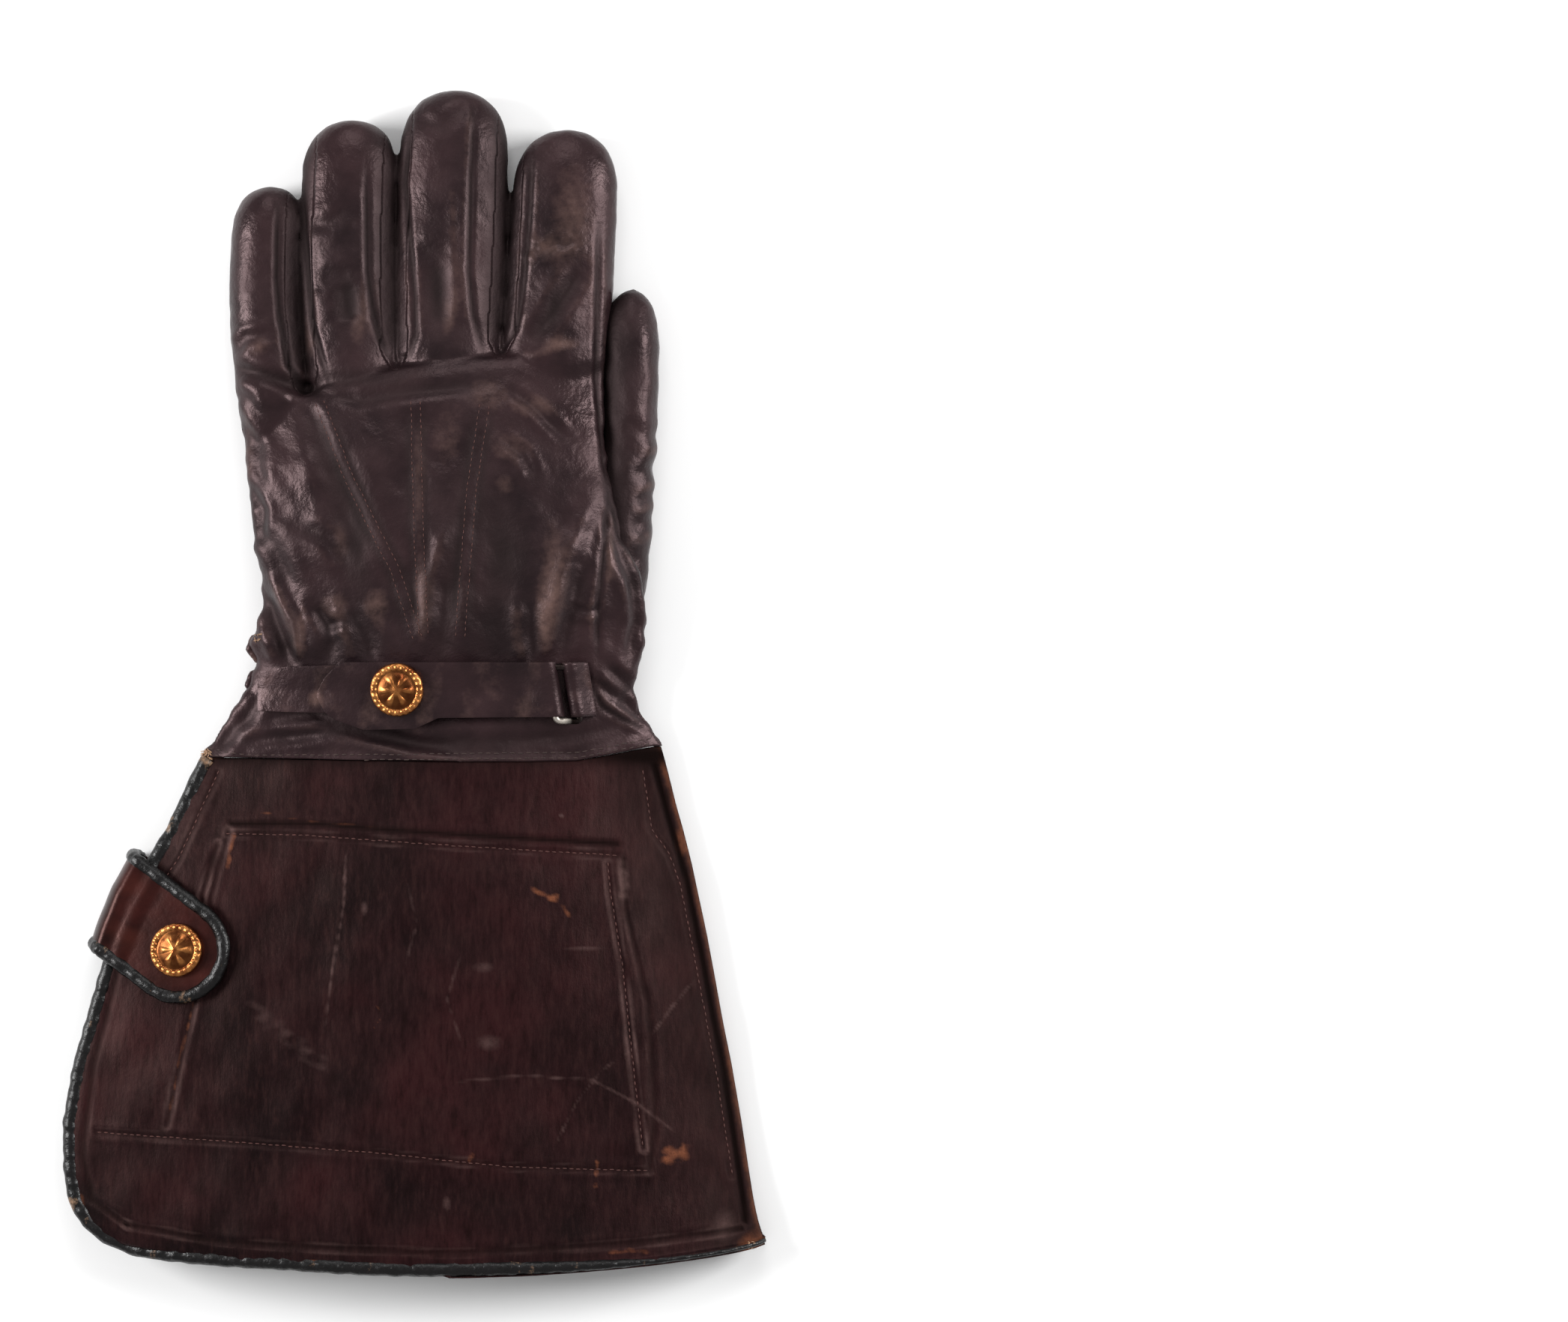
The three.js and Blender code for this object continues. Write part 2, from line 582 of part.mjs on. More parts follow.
function frontOf(finger) {
  const axis = finger.rootX * palmWidth;
  const own = fronts.filter((body) => body.boundingBox().min[0] < axis && axis < body.boundingBox().max[0]);
  return own.sort((a, b) => b.volume() - a.volume())[0];
}

addPiece('hand_back', toGeometry(back), gloveLeather);
addPiece('hand_palm', toGeometry(partedPalm), gloveLeather);
for (const finger of fingers) addPiece(`${finger.name}_front`, toGeometry(frontOf(finger)), gloveLeather);
for (const fork of forks) addPiece(fork.name, toGeometry(fork.solid), gloveLeather);
addPiece('thumb', toGeometry(thumbShell), gloveLeather);

// The strap, its loop and the chape

const strapY = strapMiddle * strapWidth;
const loopX = loopPlace * palmWidth;
const bar = wireDiameter / 2;
const barHeight = strapClear + strapWall + seamGap + bar;
const foldRadius = bar + seamGap + strapWall / 2;

// A flat strap through a list of stations, each with its x, its height over the wrist and its two edges.
// A station that turns round a bar takes the wrist's height under that bar.
function strapBody(stations) {
  const last = stations.length - 1;
  const normal = (i) => {
    const from = stations[Math.max(i - 1, 0)];
    const to = stations[Math.min(i + 1, last)];
    return new THREE.Vector2(-(to.h - from.h), to.x - from.x).normalize().multiplyScalar(strapWall / 2);
  };
  const face = (side) => (u, v) => {
    const i = Math.round(u * last);
    const station = stations[i];
    const aside = normal(i);
    const y = strapY + lerp(station.low, station.high, v) * strapWidth;
    const base = handTop(station.over ?? station.x, y);
    return [station.x + side * aside.x, y, base + station.h + side * aside.y];
  };
  return sheet(last, 3, face(1), face(-1));
}

const strapStartX = strapStart * palmWidth;
const leftBarX = loopX - loopWidth / 2;
const rightBarX = loopX + loopWidth / 2;
const lowerHeight = strapClear + strapWall / 2;
const upperHeight = lowerHeight + strapWall + seamGap;

function strapEdges(layer, at) {
  return rowAt(strapRows.filter((row) => row.layer === layer).sort((a, b) => a.at - b.at), 'at', at);
}

const strapStations = [];
const lowerSteps = 10;
const upperSteps = 10;
const turnSteps = 6;
for (let i = 0; i <= lowerSteps; i += 1) {
  const at = i / lowerSteps;
  strapStations.push({ x: lerp(strapStartX, leftBarX, at), h: lowerHeight, ...strapEdges('lower', at) });
}
for (let i = 1; i < turnSteps; i += 1) {
  const angle = -Math.PI / 2 + (i / turnSteps) * Math.PI;
  const x = leftBarX + foldRadius * Math.cos(angle);
  const h = barHeight + foldRadius * Math.sin(angle);
  strapStations.push({ x, h, over: leftBarX, low: -0.5, high: 0.5 });
}
for (let i = 0; i <= upperSteps; i += 1) {
  const at = 1 - i / upperSteps;
  const x = leftBarX - (1 - at) * strapReach;
  const settle = smooth((leftBarX - x) / (strapReach * 0.16));
  const h = lerp(barHeight + foldRadius, upperHeight, settle);
  strapStations.push({ x, h, ...strapEdges('upper', at) });
}
addPiece('wrist_strap', strapBody(strapStations), gloveLeather);

const chapeStations = [];
for (let i = 0; i <= 3; i += 1) {
  chapeStations.push({ x: rightBarX + chapeLength * (1 - i / 3), h: lowerHeight, low: -0.5, high: 0.5 });
}
for (let i = 1; i < turnSteps; i += 1) {
  const angle = -Math.PI / 2 - (i / turnSteps) * Math.PI;
  const x = rightBarX + foldRadius * Math.cos(angle);
  const h = barHeight + foldRadius * Math.sin(angle);
  chapeStations.push({ x, h, over: rightBarX, low: -0.5, high: 0.5 });
}
for (let i = 0; i <= 3; i += 1) {
  const settle = smooth(i / 3);
  const h = lerp(barHeight + foldRadius, upperHeight, settle);
  chapeStations.push({ x: rightBarX + chapeLength * (i / 3), h, low: -0.5, high: 0.5 });
}
addPiece('strap_chape', strapBody(chapeStations), gloveLeather);

// A round or flattened band along a path: wide across it, thick up and down, kept above the floor.
function bandBody(path, wide, thick, sides, round = false) {
  const count = path.length;
  const rings = path.map((point, i) => {
    const from = path[round ? (i + count - 1) % count : Math.max(i - 1, 0)];
    const to = path[round ? (i + 1) % count : Math.min(i + 1, count - 1)];
    const along = new THREE.Vector3().subVectors(to, from).normalize();
    const across = new THREE.Vector3().crossVectors(along, new THREE.Vector3(0, 0, 1)).normalize();
    const up = new THREE.Vector3().crossVectors(across, along).normalize();
    const ring = [];
    for (let k = 0; k < sides; k += 1) {
      const angle = ((k + 0.5) / sides) * 2 * Math.PI;
      const place = point.clone();
      place.addScaledVector(across, (wide / 2) * Math.cos(angle));
      place.addScaledVector(up, (thick / 2) * Math.sin(angle));
      ring.push([place.x, place.y, Math.max(place.z, 0)]);
    }
    return ring;
  });
  return loft(rings, round);
}

// The wire loop, a rectangle with round corners that stands over the wrist at the bars' height.
const loopLength = strapWidth + 2 * (seamGap + bar);
const loopCorner = wireDiameter * 0.6;
const loopPath = [];
const loopPoint = (x, y) => loopPath.push(new THREE.Vector3(x, y, handTop(x, y) + barHeight));
for (let side = 0; side < 4; side += 1) {
  const cornerX = (side === 0 || side === 3 ? 1 : -1) * (loopWidth / 2 - loopCorner);
  const cornerY = (side < 2 ? 1 : -1) * (loopLength / 2 - loopCorner);
  for (let i = 0; i <= 2; i += 1) {
    const angle = (side + i / 2) * (Math.PI / 2);
    loopPoint(loopX + cornerX + loopCorner * Math.cos(angle), strapY + cornerY + loopCorner * Math.sin(angle));
  }
  if (side % 2 === 1) {
    const barX = side === 1 ? leftBarX : rightBarX;
    for (const share of [0.75, 0.5, 0.25]) {
      loopPoint(barX, strapY + lerp(-cornerY, cornerY, share));
    }
  }
}
addPiece('strap_loop', bandBody(loopPath, wireDiameter, wireDiameter, 6, true), steel);

// A domed snap cap with a rolled rim, its flat back on the leather.
function snapCap() {
  const radius = snapDiameter / 2;
  const profile = [
    [0, 0],
    [radius * 0.86, 0],
    [radius, snapHeight * 0.22],
    [radius * 0.98, snapHeight * 0.46],
    [radius * 0.86, snapHeight * 0.6],
    [radius * 0.7, snapHeight * 0.72],
    [radius * 0.42, snapHeight * 0.92],
    [0, snapHeight],
  ];
  const geometry = new THREE.LatheGeometry(profile.map(([r, z]) => new THREE.Vector2(r, z)), 14);
  return geometry.rotateX(Math.PI / 2);
}

// Seats a cap on a face whose height is given by a function of x and y.
function seatCap(name, x, y, surface) {
  const reach = snapDiameter / 2;
  const slopeX = (surface(x + reach, y) - surface(x - reach, y)) / (2 * reach);
  const slopeY = (surface(x, y + reach) - surface(x, y - reach)) / (2 * reach);
  const normal = new THREE.Vector3(-slopeX, -slopeY, 1).normalize();
  let rise = 0;
  for (let i = 0; i < 12; i += 1) {
    const angle = (i / 12) * 2 * Math.PI;
    const dx = reach * 0.86 * Math.cos(angle);
    const dy = reach * 0.86 * Math.sin(angle);
    rise = Math.max(rise, surface(x + dx, y + dy) - surface(x, y) - slopeX * dx - slopeY * dy);
  }
  const mesh = new THREE.Mesh(snapCap(), brass);
  mesh.name = name;
  mesh.quaternion.setFromUnitVectors(new THREE.Vector3(0, 0, 1), normal);
  mesh.position.set(x, y, surface(x, y) + rise).addScaledVector(normal, seamGap);
  group.add(mesh);
}

const strapSnapX = leftBarX - strapReach * 0.655;
seatCap('wrist_snap_cap', strapSnapX, strapY, (x, y) => handTop(x, y) + upperHeight + strapWall / 2);

// The cuff

const seamY = -wristDrop - seamGap;

function cuffSection(along) {
  const row = rowAt(cuffRows, 'along', along);
  const rear = cuffWall + seamGap;
  const bindings = 2 * bindingLip + seamGap;
  const mouthLift = bindings * smooth((along - 0.78) / 0.12);
  const seamLift = handSections[0].midL - cuffWall;
  return {
    left: row.left * mouthWidth,
    right: row.right * mouthWidth,
    high: lerp(handSections[0].high, row.high * mouthHeight, smooth(along / 0.25)),
    crown: row.crown,
    bow: row.bow * mouthBow,
    liftL: lerp(seamLift, rear + openSideHeight, smooth(along / 0.3)),
    liftR: rear + mouthLift,
  };
}

function cuffY(section, along, share) {
  const arch = Math.sin(Math.PI * THREE.MathUtils.clamp(share, 0, 1)) ** 0.7;
  return seamY - along * cuffLength - section.bow * arch;
}

// The upper panel's top height, at a share across the cuff and along it.
function frontHeight(section, along, share, x) {
  const edge = lerp(section.liftL, section.liftR, share) + cuffWall;
  const round = Math.max(1 - (2 * share - 1) ** 2, 0) ** section.crown;
  let z = edge + (section.high - edge) * round;
  for (const dent of cuffDents) {
    const dx = (x - dent.x * mouthWidth) / (dent.wide * mouthWidth);
    const dy = ((along - dent.along) * cuffLength) / (dent.wide * mouthWidth);
    z -= dent.depth * mouthHeight * Math.exp(-dx * dx - dy * dy) * round;
  }
  return z;
}

function frontTop(x, y) {
  const along = THREE.MathUtils.clamp((seamY - y) / cuffLength, 0, cuffRows.at(-1).along);
  const section = cuffSection(along);
  const share = THREE.MathUtils.clamp((x - section.left) / (section.right - section.left), 0, 1);
  return frontHeight(section, along, share, x);
}

// The tab's own directions: outward from its snap over the cuff's open side, and across it.
const tabOut = new THREE.Vector2(1, 0).rotateAround(new THREE.Vector2(), THREE.MathUtils.degToRad(tabAngle));
const tabAcross = new THREE.Vector2(tabOut.y, -tabOut.x);

function tabPlace(out, across) {
  return [tabX + out * tabOut.x + across * tabAcross.x, tabY + out * tabOut.y + across * tabAcross.y];
}

// How far the cuff's edge lies from the snap, along the tab.
function edgeReach(across) {
  for (let out = 0; out < mouthWidth; out += 0.25) {
    const [x, y] = tabPlace(out, across);
    if (x < cuffSection((seamY - y) / cuffLength).left) return out;
  }
  return 0;
}
const tabReach = (edgeReach(-tabWidth / 2) + edgeReach(tabWidth / 2)) / 2;

// The lower panel is lifted where the tab's foot is sewn under it.
function footLift(x, y) {
  const offset = new THREE.Vector2(x - tabX, y - tabY);
  const out = offset.dot(tabOut) - tabReach + tabFoot;
  const across = Math.abs(offset.dot(tabAcross)) - tabWidth / 2;
  const inner = smooth(1 + (out + liftMargin) / liftFall);
  return (tabWall + seamGap + bindingLip) * inner * smooth(1 - (across - liftMargin) / liftFall);
}

const alongEnd = cuffRows.at(-1).along;
const edgeInset = bindingWidth / 4;

// Both panels share one outline: grow moves its faces and its free edges outwards.
function panelPoint(u, v, grow) {
  const along = u * alongEnd;
  const section = cuffSection(along);
  const inset = edgeInset - grow;
  const x = lerp(section.left + inset, section.right + grow, v);
  const share = (x - section.left) / (section.right - section.left);
  const y = cuffY(section, along, share) + inset * (u > 0.99 ? 1 : 0) + (u === 0 ? grow : 0);
  return { x, y, along, section, share };
}

const panelSteps = 18;
const panelAcross = 11;

function frontPanel(grow) {
  const face = (drop) => (u, v) => {
    const p = panelPoint(u, v, grow);
    return [p.x, p.y, frontHeight(p.section, p.along, p.share, p.x) - drop];
  };
  return sheet(panelSteps, panelAcross, face(-grow), face(cuffWall + grow));
}

function rearPanel(grow) {
  const face = (z) => (u, v) => {
    const p = panelPoint(u, v, grow);
    return [p.x, p.y, z + footLift(p.x, p.y)];
  };
  return sheet(panelSteps, panelAcross, face(cuffWall + grow), face(-grow));
}

// The free edge: down the open side, round the corner and along the mouth.
function freeEdge(height) {
  const path = [];
  const inset = bindingWidth / 2;
  const sideSteps = 14;
  const mouthSteps = 10;
  for (let i = 0; i <= sideSteps; i += 1) {
    const along = (i / sideSteps) ** 0.8 * alongEnd;
    const section = cuffSection(along);
    path.push([section.left + inset, seamY - along * cuffLength + (i === 0 ? -bindingStart : 0), along, section]);
  }
  const mouth = cuffSection(alongEnd);
  for (let i = 1; i <= mouthSteps; i += 1) {
    const share = i / mouthSteps;
    const x = lerp(mouth.left + inset, mouth.right - 2 * seamGap, share);
    path.push([x, cuffY(mouth, alongEnd, share) + inset * Math.min(1, share * 4), alongEnd, mouth]);
  }
  return path.map(([x, y, along, section]) => new THREE.Vector3(x, y, height(x, y, along, section)));
}

function shareAcross(section, x) {
  return THREE.MathUtils.clamp((x - section.left) / (section.right - section.left), 0, 1);
}

const bindingThick = cuffWall + 2 * bindingLip;
const frontEdge = freeEdge((x, y, along, section) => (
  frontHeight(section, along, shareAcross(section, x), x) - cuffWall / 2
));
const rearEdge = freeEdge((x, y) => cuffWall / 2 + footLift(x, y));
addPiece('cuff_front', frontPanel(0), cuffLeather);
addPiece('cuff_rear', rearPanel(0), cuffLeather);
const bindBody = (path, panel) => (
  toGeometry(toSolid(bandBody(path, bindingWidth, bindingThick, 6)).subtract(toSolid(panel(seamGap))))
);
addPiece('front_binding', bindBody(frontEdge, frontPanel), bindingLeather);
addPiece('rear_binding', bindBody(rearEdge, rearPanel), bindingLeather);

// The gusset: one soft leaf folded inwards between the two panels at the open side.
function gussetBody() {
  const near = bindingWidth + seamGap * 2;
  const bends = [
    { out: 0.00, high: 0 },
    { out: 0.45, high: 0 },
    { out: 0.85, high: 0.06 },
    { out: 1.00, high: 0.35 },
    { out: 1.00, high: 0.65 },
    { out: 0.85, high: 0.94 },
    { out: 0.45, high: 1 },
    { out: 0.00, high: 1 },
  ];
  const last = bends.length - 1;
  const centre = (u, k) => {
    const along = lerp(0.03, 0.82, u);
    const section = cuffSection(along);
    const bend = bends[Math.min(Math.max(k, 0), last)];
    const x = section.left + near + bend.out * gussetDepth;
    const y = seamY - along * cuffLength;
    const low = cuffWall + footLift(x, y) + gussetClear + gussetWall / 2;
    const high = frontTop(x, y) - cuffWall - gussetClear - gussetWall / 2;
    return [x, y, lerp(low, Math.max(high, low + gussetWall * 1.5), bend.high)];
  };
  const face = (side) => (u, v) => {
    const k = Math.round(v * last);
    const here = centre(u, k);
    const from = centre(u, k - 1);
    const to = centre(u, k + 1);
    const aside = new THREE.Vector2(-(to[2] - from[2]), to[0] - from[0]).normalize();
    aside.multiplyScalar((side * gussetWall) / 2);
    return [here[0] + aside.x, here[1], here[2] + aside.y];
  };
  return sheet(10, last, face(1), face(-1));
}
addPiece('cuff_gusset', gussetBody(), gloveLeather);

// The tab: over the upper panel, round the open side and under the lower panel.
const tabClear = bindingLip + seamGap;
const tabTurn = 6;
const tabOver = 9;
const tabUnder = 3;
const tabSteps = tabOver + tabTurn + tabUnder;

function tabPoint(u, v, lift, grow) {
  const k = Math.round(u * tabSteps);
  const half = tabWidth / 2 - tabLip + grow;
  let across = (2 * v - 1) * half;
  const topAt = (out, aside) => {
    const edge = edgeReach(aside);
    const rim = smooth((out - (edge - bindingWidth - tabRise)) / tabRise);
    const [x, y] = tabPlace(out, aside);
    const [overX, overY] = tabPlace(Math.min(out, edge - tabRise / 2), aside);
    return { x, y, z: frontTop(overX, overY) + seamGap + rim * bindingLip + tabLip + tabWall / 2 };
  };
  if (k <= tabOver) {
    const share = k / tabOver;
    let out = lerp(-half, tabReach, share ** 1.25);
    const free = out < 0 ? Math.sqrt(Math.max(half * half - out * out, 0)) : half;
    across = (2 * v - 1) * Math.max(free, half * 0.12);
    out += (edgeReach(across) - tabReach + tabClear) * share ** 3;
    const top = topAt(out, across);
    return [top.x, top.y, top.z + lift];
  }
  const turnAt = edgeReach(across) + tabClear;
  const low = tabWall / 2;
  const radius = (topAt(turnAt, across).z - low) / 2;
  if (k < tabOver + tabTurn) {
    const angle = Math.PI / 2 - ((k - tabOver) / tabTurn) * Math.PI;
    const [x, y] = tabPlace(turnAt + (Math.min(radius, tabBulge) + lift) * Math.cos(angle), across);
    return [x, y, low + radius + (radius + lift) * Math.sin(angle)];
  }
  const back = (k - tabOver - tabTurn) / tabUnder;
  const [x, y] = tabPlace(turnAt - back * (tabFoot + grow), across);
  return [x, y, low - lift];
}

function tabBody(grow) {
  const half = tabWall / 2 + grow;
  return sheet(tabSteps, 5, (u, v) => tabPoint(u, v, half, grow), (u, v) => tabPoint(u, v, -half, grow));
}

// The tab's rolled edge, from the open side round its end and back, in a slot over the tab's own edge.
function tabBindingBody() {
  const last = tabOver + tabTurn - 2;
  const turns = [];
  for (let k = last; k >= 0; k -= 1) turns.push([k, 0]);
  for (let k = 0; k <= last; k += 1) turns.push([k, 1]);
  const path = turns.map(([k, v]) => new THREE.Vector3(...tabPoint(k / tabSteps, v, 0, 0)));
  const sides = 6;
  const rings = path.map((point, i) => {
    const along = path[Math.min(i + 1, path.length - 1)].clone().sub(path[Math.max(i - 1, 0)]).normalize();
    const k = Math.max(turns[i][0], Math.round(tabOver * 0.45));
    const outward = point.clone().sub(new THREE.Vector3(...tabPoint(k / tabSteps, 0.5, 0, 0)));
    outward.addScaledVector(along, -outward.dot(along)).normalize();
    const up = new THREE.Vector3().crossVectors(outward, along).normalize();
    const middle = point.clone().addScaledVector(outward, tabLip - tabRim / 2);
    return Array.from({ length: sides }, (_, j) => {
      const angle = ((j + 0.5) / sides) * 2 * Math.PI;
      const place = middle.clone().addScaledVector(outward, (tabRim / 2) * Math.cos(angle));
      place.addScaledVector(up, (tabWall / 2 + tabLip) * 1.12 * Math.sin(angle));
      return place.toArray();
    });
  });
  return toGeometry(toSolid(loft(rings)).subtract(toSolid(tabBody(seamGap))));
}
addPiece('cuff_tab', tabBody(0), cuffLeather);
addPiece('tab_binding', tabBindingBody(), bindingLeather);

const tabSurface = (x, y) => frontTop(x, y) + seamGap + tabLip + tabWall;
seatCap('cuff_snap_cap', tabX, tabY, tabSurface);

export default group;
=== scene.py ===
import math
import random
import bmesh
import bpy
import numpy as np
from mathutils import Matrix, Vector
from mathutils.bvhtree import BVHTree


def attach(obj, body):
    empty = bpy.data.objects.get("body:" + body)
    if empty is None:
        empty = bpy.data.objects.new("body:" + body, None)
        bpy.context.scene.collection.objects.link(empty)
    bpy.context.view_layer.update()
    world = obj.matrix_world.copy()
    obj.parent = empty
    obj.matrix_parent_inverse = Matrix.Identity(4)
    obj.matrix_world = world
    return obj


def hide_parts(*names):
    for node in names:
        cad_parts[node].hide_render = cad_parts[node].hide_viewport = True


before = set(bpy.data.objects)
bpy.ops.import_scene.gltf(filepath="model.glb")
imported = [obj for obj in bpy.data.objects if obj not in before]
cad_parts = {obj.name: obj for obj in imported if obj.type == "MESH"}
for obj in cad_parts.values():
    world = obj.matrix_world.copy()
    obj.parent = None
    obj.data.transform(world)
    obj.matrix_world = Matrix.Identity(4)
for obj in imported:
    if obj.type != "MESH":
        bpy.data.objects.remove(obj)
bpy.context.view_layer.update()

rng = random.Random(41)
mm = 0.001
mergeWithin = 0.01 * mm

# The photograph is a straight view down on the glove, so a place on it is a place in the plan.
photo = dict(centreX=553, centreY=908, mmPerPixel=0.225, viewX=1046.5, viewY=882, width=2093)


def spot(px, py):  # a place in the photograph, as millimetres in the plan
    return ((px - photo["centreX"]) * photo["mmPerPixel"], (photo["centreY"] - py) * photo["mmPerPixel"])


def bell(away, wide):  # 1 on a line, falling off evenly on both its sides
    return np.exp(-(away / wide) ** 2)


def lerp(start, end, share):
    return start + (end - start) * share


def smooth(value):
    value = min(max(value, 0.0), 1.0)
    return value * value * (3 - 2 * value)


def smoothArray(values):
    values = np.clip(values, 0.0, 1.0)
    return values * values * (3 - 2 * values)


def readTable(rows, key, value):  # a table's row at a place between two of its rows
    after = next((i for i, row in enumerate(rows) if row[key] > value), len(rows) - 1)
    start, end = rows[max(after, 1) - 1], rows[max(after, 1)]
    share = (value - start[key]) / (end[key] - start[key])
    return {name: lerp(start[name], end[name], share) for name in start if not isinstance(start[name], str)}


# Meshes

def newObject(name, bm):
    mesh = bpy.data.meshes.new(name)
    bm.to_mesh(mesh)
    bm.free()
    obj = bpy.data.objects.new(name, mesh)
    bpy.context.scene.collection.objects.link(obj)
    mesh.polygons.foreach_set("use_smooth", [True] * len(mesh.polygons))
    return obj


def gridBody(name, uSteps, vSteps, place, fillEnds=False):
    bm = bmesh.new()
    bmesh.ops.create_grid(bm, x_segments=uSteps, y_segments=vSteps, size=1)
    for vert in bm.verts:
        vert.co = Vector(place((vert.co.x + 1) / 2, (vert.co.y + 1) / 2)) * mm
    bmesh.ops.remove_doubles(bm, verts=bm.verts, dist=mergeWithin)
    if fillEnds:
        bmesh.ops.holes_fill(bm, edges=[edge for edge in bm.edges if edge.is_boundary], sides=0)
    bmesh.ops.recalc_face_normals(bm, faces=bm.faces)
    return newObject(name, bm)


def applyModifiers(obj):
    depsgraph = bpy.context.evaluated_depsgraph_get()
    finished = bpy.data.meshes.new_from_object(obj.evaluated_get(depsgraph))
    obj.modifiers.clear()
    old = obj.data
    obj.data = finished
    bpy.data.meshes.remove(old)
    finished.polygons.foreach_set("use_smooth", [True] * len(finished.polygons))


def withModifier(obj, kind, **settings):
    modifier = obj.modifiers.new(kind.title(), kind)
    for name, value in settings.items():
        setattr(modifier, name, value)
    applyModifiers(obj)


def joinObjects(name, objects):
    bm = bmesh.new()
    for obj in objects:
        bm.from_mesh(obj.data)
        bpy.data.objects.remove(obj)
    return newObject(name, bm)


def meshPoints(obj):
    points = np.empty(len(obj.data.vertices) * 3)
    obj.data.vertices.foreach_get("co", points)
    normals = np.empty(len(obj.data.vertices) * 3)
    obj.data.vertex_normals.foreach_get("vector", normals)
    return points.reshape(-1, 3) / mm, normals.reshape(-1, 3)


def setPoints(obj, points):
    obj.data.vertices.foreach_set("co", (points * mm).ravel())
    obj.data.update()


def setShare(obj, name, values):  # a number for each point, for the material to read
    layer = obj.data.attributes.get(name) or obj.data.attributes.new(name, "FLOAT", "POINT")
    layer.data.foreach_set("value", np.clip(values, 0, 1).astype(np.float32))


waves = dict(count=7, tilt=0.6, finest=0.7, coarsest=1.7, phase=6.28, level=3.5)


def noiseArray(points, size, seed):  # smooth noise from a few crossed waves, mostly from -1 to 1
    local = random.Random(seed)
    total = np.zeros(len(points))
    for _ in range(waves["count"]):
        turn = local.uniform(0, 2 * math.pi)
        tilt = local.uniform(-waves["tilt"], waves["tilt"])
        pitch = 2 * math.pi / (size * local.uniform(waves["finest"], waves["coarsest"]))
        run = points[:, 0] * math.cos(turn) + points[:, 1] * math.sin(turn) + points[:, 2] * tilt
        total += np.sin(run * pitch + local.uniform(0, waves["phase"]))
    return total / waves["level"]


def awayFromLine(points, line):  # distance to a run of straight stretches, and the share along it
    best = np.full(len(points), np.inf)
    along = np.zeros(len(points))
    lengths = [math.dist(a, b) for a, b in zip(line, line[1:])]
    done = 0.0
    for a, b, length in zip(line, line[1:], lengths):
        run = np.array([b[0] - a[0], b[1] - a[1]])
        offset = points[:, :2] - np.array(a)
        share = np.clip(offset @ run / (length * length), 0, 1)
        away = np.hypot(*(offset - share[:, None] * run).T)
        near = away < best
        best = np.where(near, away, best)
        along = np.where(near, (done + share * length) / sum(lengths), along)
        done += length
    return best, along


def surfaceOf(obj):
    bm = bmesh.new()
    bm.from_mesh(obj.data)
    tree = BVHTree.FromBMesh(bm)
    bm.free()
    return tree


def topAt(tree, x, y, fallback=0.0, above=100):  # the height of a surface and its slope, seen from above
    hit, normal, _, _ = tree.ray_cast(Vector((x, y, above)) * mm, Vector((0, 0, -1)))
    if hit is None:
        return fallback, Vector((0, 0, 1))
    return hit.z / mm, normal


# Materials

def linear(text):
    parts = [int(text[i:i + 2], 16) / 255 for i in (1, 3, 5)]
    return tuple(p / 12.92 if p <= 0.04045 else ((p + 0.055) / 1.055) ** 2.4 for p in parts) + (1.0,)


def addNode(tree, kind, inputs=None, stops=(), output=0, **settings):
    node = tree.nodes.new(kind)
    for name, value in settings.items():
        setattr(node, name, value)
    for key, value in (inputs or {}).items():
        if isinstance(value, bpy.types.NodeSocket):
            tree.links.new(value, node.inputs[key])
        else:
            node.inputs[key].default_value = value
    if stops:
        elements = node.color_ramp.elements
        while len(elements) < len(stops):
            elements.new(0.5)
        for element, (place, colour) in zip(elements, stops):
            element.position = place
            element.color = colour if isinstance(colour, tuple) else (colour, colour, colour, 1)
    return node.outputs[output]


# A material starts with its patterns, each a noise of a real size in millimetres, and with the piece's
# shares of wear, painted sheen and painted shade, all of them by name.
def startMaterial(name, patterns=(), shares=(), **constants):
    material = bpy.data.materials.new(name)
    material.use_nodes = True
    tree = material.node_tree
    shader = tree.nodes["Principled BSDF"]
    for socket, value in constants.items():
        shader.inputs[socket.replace("_", " ")].default_value = value
    coords = addNode(tree, "ShaderNodeTexCoord", output="Object")
    layers = {}
    for row in patterns:
        source = coords
        if "stretch" in row:
            source = addNode(tree, "ShaderNodeMapping", dict(Vector=coords, Scale=row["stretch"]))
        inputs = dict(Vector=source, Scale=1 / (row["size"] * mm), Detail=row["detail"],
                      Roughness=row["rough"])
        layers[row["name"]] = addNode(tree, "ShaderNodeTexNoise", inputs)
    for share in shares:
        layers[share] = addNode(tree, "ShaderNodeAttribute", output="Fac", attribute_name=share)
    return material, tree, shader, layers


# Each coat lies over the last by its share; a relief's height is in millimetres.
def dressShader(tree, shader, colour, coats, gloss=None, reliefs=()):
    for share, over, mode in coats:
        colour = addNode(tree, "ShaderNodeMix", {0: share, 6: colour, 7: over}, output=2, data_type="RGBA",
                         blend_type=mode)
    normal = None
    for source, height in reliefs:
        inputs = {"Height": source, "Strength": 1.0, "Distance": height * mm}
        if normal:
            inputs["Normal"] = normal
        normal = addNode(tree, "ShaderNodeBump", inputs)
    for socket, source in (("Base Color", colour), ("Roughness", gloss), ("Normal", normal)):
        if source:
            tree.links.new(source, shader.inputs[socket])
